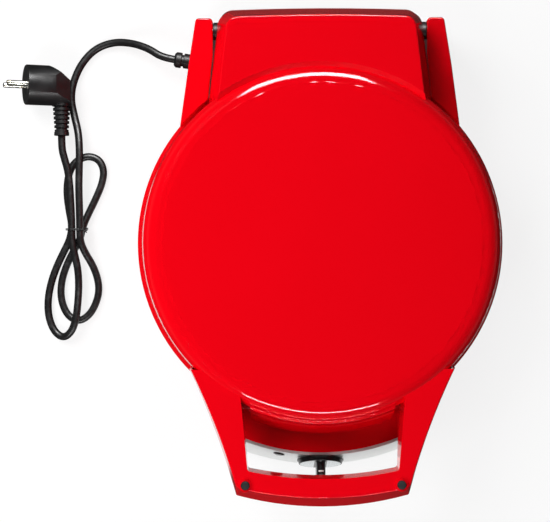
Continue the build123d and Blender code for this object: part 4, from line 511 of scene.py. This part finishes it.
def piece(name, skins, finish, body, edge=PIECE_EDGE):
    """A mesh of one or more closed skins: doubles merged, faces turned outwards, sharp edges kept."""
    starts = np.cumsum([0] + [len(points) for points, _, _ in skins[:-1]])
    points = np.concatenate([points for points, _, _ in skins])
    faces = np.concatenate([faces + start for start, (_, faces, _) in zip(starts, skins)])
    uvs = np.concatenate([uvs for _, _, uvs in skins])
    mesh = bpy.data.meshes.new(name)
    mesh.from_pydata(points.tolist(), [], faces.tolist())
    mesh.uv_layers.new(name="UVMap").data.foreach_set("uv", uvs.ravel())
    work = bmesh.new()
    work.from_mesh(mesh)
    bmesh.ops.remove_doubles(work, verts=work.verts, dist=PIECE_MERGE)
    bmesh.ops.dissolve_degenerate(work, edges=work.edges, dist=SLIVER_MERGE)
    bmesh.ops.recalc_face_normals(work, faces=work.faces)
    work.to_mesh(mesh)
    work.free()
    mesh.polygons.foreach_set("use_smooth", np.ones(len(mesh.polygons), bool))
    mesh.set_sharp_from_angle(angle=radians(edge))
    made = put(name, mesh)
    mesh.materials.append(finish.material)
    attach(made, body)
    return made


def swept(path, radius, sides, reference):
    """Round tube, closed at both ends.

    Each ring is the path's point plus radius times (side times a cosine plus upper times a sine).
    """
    tangent = np.gradient(path, axis=0)
    tangent /= np.linalg.norm(tangent, axis=1, keepdims=True)
    side = np.cross(np.broadcast_to(reference, path.shape), tangent)
    side /= np.linalg.norm(side, axis=1, keepdims=True)
    upper = np.cross(tangent, side)
    angle = np.linspace(0, 2 * pi, sides + 1)[None, :, None]
    rings = path[:, None] + radius * (np.cos(angle) * side[:, None] + np.sin(angle) * upper[:, None])
    ends = np.repeat(path[[0, -1]][:, None], sides + 1, axis=1)
    return skin(np.concatenate([ends[:1], rings, ends[1:]]))


def on_ring(radius, bearings, z):
    """Points on a circle about the plates' axis: the radius times each bearing's cosine and sine."""
    angle = np.radians(np.array(bearings, float))
    x = radius * np.cos(angle)
    y = PLATE_Y + radius * np.sin(angle)
    return np.stack([x, y, np.full(len(angle), z)], axis=1)


def screw(head_r, head_h, shank_r, shank_l, recess):
    """Pan-head screw: a profile turned about z, its crown dished by a cross of two slots.

    The head's height falls from the crown as the square of the radius, and the thread is a triangle wave
    along the shank. The recess is the deeper of the slots, each a product of two ramps of the distance
    from its own sides and ends.
    """
    steps = np.linspace(1, 0, 15)
    crown_r = head_r * steps
    crown_z = head_h * (1 - CROWN_FALL * steps ** 2)
    thread = np.linspace(0, 1, 40)
    wave = np.abs(1 - 2 * ((thread * THREAD_TURNS) % 1))
    thread_r = shank_r * (1 - THREAD_DEPTH + THREAD_DEPTH * wave)
    thread_z = -shank_l * (1 - thread) * THREAD_RUN
    seat_r = [shank_r * NECK, head_r * HEAD_UNDER, head_r]
    radius = np.concatenate([[0, shank_r * TIP], thread_r, seat_r, crown_r])
    height = np.concatenate([[-shank_l, -shank_l], thread_z, [0, 0, head_h * HEAD_RIM], crown_z])
    angle = np.linspace(0, 2 * pi, 49)
    x = radius[:, None] * np.cos(angle)
    y = radius[:, None] * np.sin(angle)
    z = np.repeat(height[:, None], len(angle), axis=1)
    slots = [np.clip((recess * SLOT_HALF - np.abs(a)) / (recess * SLOT_SIDE), 0, 1)
             * np.clip((recess - np.abs(b)) / (recess * SLOT_END), 0, 1) for a, b in ((x, y), (y, x))]
    top = np.arange(len(radius)) >= len(radius) - len(crown_r)
    z = z - np.where(top[:, None], SLOT_DEPTH * head_h * np.maximum(*slots), 0)
    return skin(np.stack([x, y, z], axis=2))


def screw_set(name, shape, spots, up, finish, body):
    """Screws of one shape at several spots, with their heads up or down, each turned its own way."""
    turns = np.radians(SCREW_TURN * np.arange(len(spots)))
    sides = np.stack([np.cos(turns), np.sin(turns), 0 * turns], axis=1)
    axes = np.tile([0.0, 0.0, float(up)], (len(spots), 1))
    made = piece(name, [placed(shape, spots, axes, sides)], finish, body, SCREW_EDGE)
    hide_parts(name.replace("_turned", ""))
    return made


def tie_skins():
    """Thin tie: two turns round the strands and a twisted end.

    A turn is a superellipse of the fourth power, with x and z the signed square roots of a cosine and a
    sine, while y advances by its pitch. The end is two wires, each a helix about a line that runs down to
    the right, and they part towards its tip.
    """
    def root(wave):
        return np.sign(wave) * np.abs(wave) ** 0.5

    turn = np.linspace(TIE_RUN[0] * pi, TIE_RUN[1] * pi, 220)
    ring = np.stack([
        TIE_CENTRE[0] + (TIE_HALF_X + TIE_WIRE) * root(np.cos(turn)),
        TIE_CENTRE[1] + TIE_PITCH * (turn / (2 * pi) - TIE_MIDDLE),
        TIE_CENTRE[2] + (TIE_HALF_Z + TIE_WIRE) * root(np.sin(turn))], axis=1)
    along = np.linspace(0, 1, 90)[:, None]
    line = np.array(TWIST_RUN)
    side = np.cross(line, [0.0, 0.0, 1.0])
    side /= np.linalg.norm(side)
    upper = np.cross(side, line / np.linalg.norm(line))
    parted = np.clip((along - TWIST_SPLAY_FROM) / (1 - TWIST_SPLAY_FROM), 0, 1)
    spread = TIE_WIRE * (1.0 + TWIST_SPLAY * parted)
    skins = [swept(ring, TIE_WIRE, TIE_SIDES, np.array([0.0, 1.0, 0.0]))]
    for phase in (0.0, pi):
        angle = 2 * pi * TWIST_TURNS * along + phase
        coil = TWIST_START + line * along + spread * (np.cos(angle) * side + np.sin(angle) * upper)
        skins.append(swept(coil, TIE_WIRE * TWIST_SHARE, TIE_SIDES, upper))
    return skins


def nurbs_line(name, points, radius):
    """Round cord on one smooth spline whose control points are the route's points."""
    line = bpy.data.curves.new(name, "CURVE")
    line.dimensions = "3D"
    line.bevel_depth = radius
    line.bevel_resolution = 6
    line.resolution_u = 14
    line.use_fill_caps = True
    spline = line.splines.new("NURBS")
    spline.points.add(len(points) - 1)
    spline.points.foreach_set("co", np.column_stack([points, np.ones(len(points))]).ravel())
    spline.order_u = 3
    spline.use_endpoint_u = True
    return put(name, line)


def soften(node):
    """Shade a frame node smoothly between its sharp edges, weighted by the size of its faces."""
    node.data.polygons.foreach_set("use_smooth", np.ones(len(node.data.polygons), bool))
    weld = node.modifiers.new("weld", "WELD")
    weld.merge_threshold = NODE_MERGE
    split = node.modifiers.new("split", "EDGE_SPLIT")
    split.split_angle = radians(NODE_EDGE)
    split.use_edge_sharp = False
    weighted = node.modifiers.new("weighted", "WEIGHTED_NORMAL")
    weighted.mode = "FACE_AREA_WITH_ANGLE"


# Camera

def place_camera():
    """Camera over the cooker, looking straight down."""
    lens = bpy.data.cameras.new("camera")
    lens.lens = CAMERA_LENS
    lens.sensor_width = CAMERA_SENSOR
    camera = put("camera", lens)
    camera.location = CAMERA_PLACE
    camera.rotation_euler = (0, 0, -radians(CAMERA_TURN))
    bpy.context.scene.camera = camera


# Light and floor

def softbox(name, place, target, width, height, watts, unseen):
    """Rectangular soft lamp aimed at a point.

    One that is unseen lights surfaces and shows in none of them. The others are the white panels of the
    room and show as reflections only.
    """
    lamp = bpy.data.lights.new(name, "AREA")
    lamp.shape = "RECTANGLE"
    lamp.size = width
    lamp.size_y = height
    lamp.energy = watts
    holder = put(name, lamp)
    holder.location = place
    holder.rotation_euler = (Vector(target) - Vector(place)).to_track_quat("-Z", "Y").to_euler()
    holder.visible_glossy = not unseen
    holder.visible_diffuse = unseen


def light_room():
    """White room for what sees it directly; for reflections it is pale low down and dark overhead."""
    world = bpy.data.worlds.new("room")
    bpy.context.scene.world = world
    world.use_nodes = True
    room = Graph(world.node_tree)
    place = room.add("TexCoord", output="Generated")
    height = room.add("SeparateXYZ", {}, {"Vector": place}, "Z")
    mirrored = room.step(height, *ROOM_FADE, ROOM_LOW, ROOM_HIGH)
    glossy = room.add("LightPath", output="Is Glossy Ray")
    seen = room.add("LightPath", output="Is Camera Ray")
    unseen = room.add("Mix", {}, {"Factor": glossy, "A": ROOM_FILL, "B": mirrored})
    back = room.tree.nodes["Background"]
    room.feed(back.inputs["Color"], (1.0, 1.0, 1.0))
    room.feed(back.inputs["Strength"], room.add("Mix", {}, {"Factor": seen, "A": unseen, "B": 1.0}))


def lay_floor():
    """Pale floor that keeps a soft shadow and is lifted towards white where the camera sees it.

    Bounced light sees a darker tone. Reflections see a painted reflection: the floor glows white in a ring
    about the plates' axis, on the side away from the hinge, and is nearly black elsewhere.
    """
    half = FLOOR_HALF
    mesh = bpy.data.meshes.new("floor")
    mesh.from_pydata([(-half, -half, 0), (half, -half, 0), (half, half, 0), (-half, half, 0)], [],
                     [(0, 1, 2, 3)])
    floor = put("floor", mesh)
    finish = Finish("pale_floor", {"Roughness": 0.9, "Specular IOR Level": 0.0})
    seen = finish.add("LightPath", output="Is Camera Ray")
    finish.colour(seen, FLOOR_BOUNCE, finish.blend(finish.noise(2.5, 4.0), *FLOOR_TONES))
    reach = finish.off_axis(*PLATE_AXIS)
    rear = finish.add("SeparateXYZ", {}, {"Vector": finish.place}, "Y")
    # Painted reflection: a glow on the floor that only reflected rays see, white in the ring and nearly
    # black outside it
    ring = finish.step(reach, *PAINTED_RING_INSIDE) * (1 - finish.step(reach, *PAINTED_RING_OUTSIDE))
    ring = ring * (1 - finish.step(rear, *PAINTED_RING_REAR))
    mirrored = finish.add("Emission", {}, {"Strength": ring * (PAINTED_GLOW_IN_RING - PAINTED_GLOW_OUTSIDE_RING) + PAINTED_GLOW_OUTSIDE_RING})
    glossy = finish.add("LightPath", output="Is Glossy Ray")
    shader = Wire(finish, finish.shader.outputs[0])
    plain = finish.add("MixShader", {}, {0: glossy, 1: shader, 2: mirrored})
    glow = finish.add("Emission", {}, {"Color": (1.0, 1.0, 1.0), "Strength": FLOOR_GLOW})
    mix = finish.add("MixShader", {}, {0: seen * FLOOR_LIFT, 1: plain, 2: glow})
    finish.feed(finish.tree.nodes["Material Output"].inputs["Surface"], mix)
    finish.material.cycles.emission_sampling = "NONE"
    mesh.materials.append(finish.material)


# The object

place_camera()

red = red_gloss()
grain = black_grain("black_grain", 0.44, 1500.0, 0.000028)
knob_black = black_grain("knob_black", 0.24, 2600.0, 0.000005)
rubber = black_rubber()
zinc = zinc_steel()
lacquer = silver_lacquer()
spun = spun_silver()
lens = dark_lens()
lamp = warm_lamp()
mark = white_mark()
ceramic = cream_ceramic()
coat = nonstick_coat()
sheath = heated_sheath()
sheet = rolled_aluminium()
sleeve = braided_sleeve()
lead = lead_sheath()
satin = plug_satin()
plate = nickel()

finish_of = {
    "base_shell": red, "left_hinge_arm": red, "right_hinge_arm": red, "lid_shell": red,
    "base_cover": grain, "handle_cover": grain, "lid_frame": grain, "cord_gland": grain,
    "base_feet": rubber, "lid_feet": rubber,
    "arm_screws": zinc, "base_screws": zinc, "lid_screws": zinc, "lower_plate_screws": zinc,
    "upper_plate_screws": zinc, "hinge_pins": zinc, "thermostat_shaft": zinc, "terminal_screws": zinc,
    "control_panel": lacquer, "thermostat_knob": knob_black, "knob_inlays": spun, "knob_pointer": mark,
    "indicator_lens": lens, "indicator_lamp": lamp,
    "thermostat": ceramic, "thermal_fuse": ceramic, "terminal_block": ceramic,
    "lower_plate": coat, "upper_plate": coat,
    "lower_heating_element": sheath, "upper_heating_element": sheath,
    "lower_reflector": sheet, "upper_reflector": sheet,
    "base_wiring": sleeve, "inner_lead": lead, "cord_lead": lead, "cord_hank": lead, "cord_tail": lead,
    "cord_tie": lead, "plug_body": satin, "plug_pins": plate, "plug_contacts": plate}

for name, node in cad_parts.items():
    node.data.materials.clear()
    node.data.materials.append(finish_of[name].material)
    soften(node)

# Mains lead, its tie and its plug
cord = nurbs_line("mains_lead", LEAD_POINTS, LEAD_DIAMETER / 2)
cord.data.materials.append(lead.material)
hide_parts("cord_lead", "cord_hank", "cord_tail")
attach(cord, "base")
tie = piece("twist_tie", tie_skins(), lead, "base")
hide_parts("cord_tie")

# Screws with cross recesses
for name, (size, radius, bearings, seat, up, body) in SCREW_SETS.items():
    screw_set(name, screw(**SCREW_SIZES[size]), on_ring(radius, bearings, seat), up, zinc, body)

# Light
lay_floor()
light_room()
for name, lamp_values in LAMPS.items():
    softbox(name, *lamp_values)
bpy.context.scene.view_settings.view_transform = "Standard"
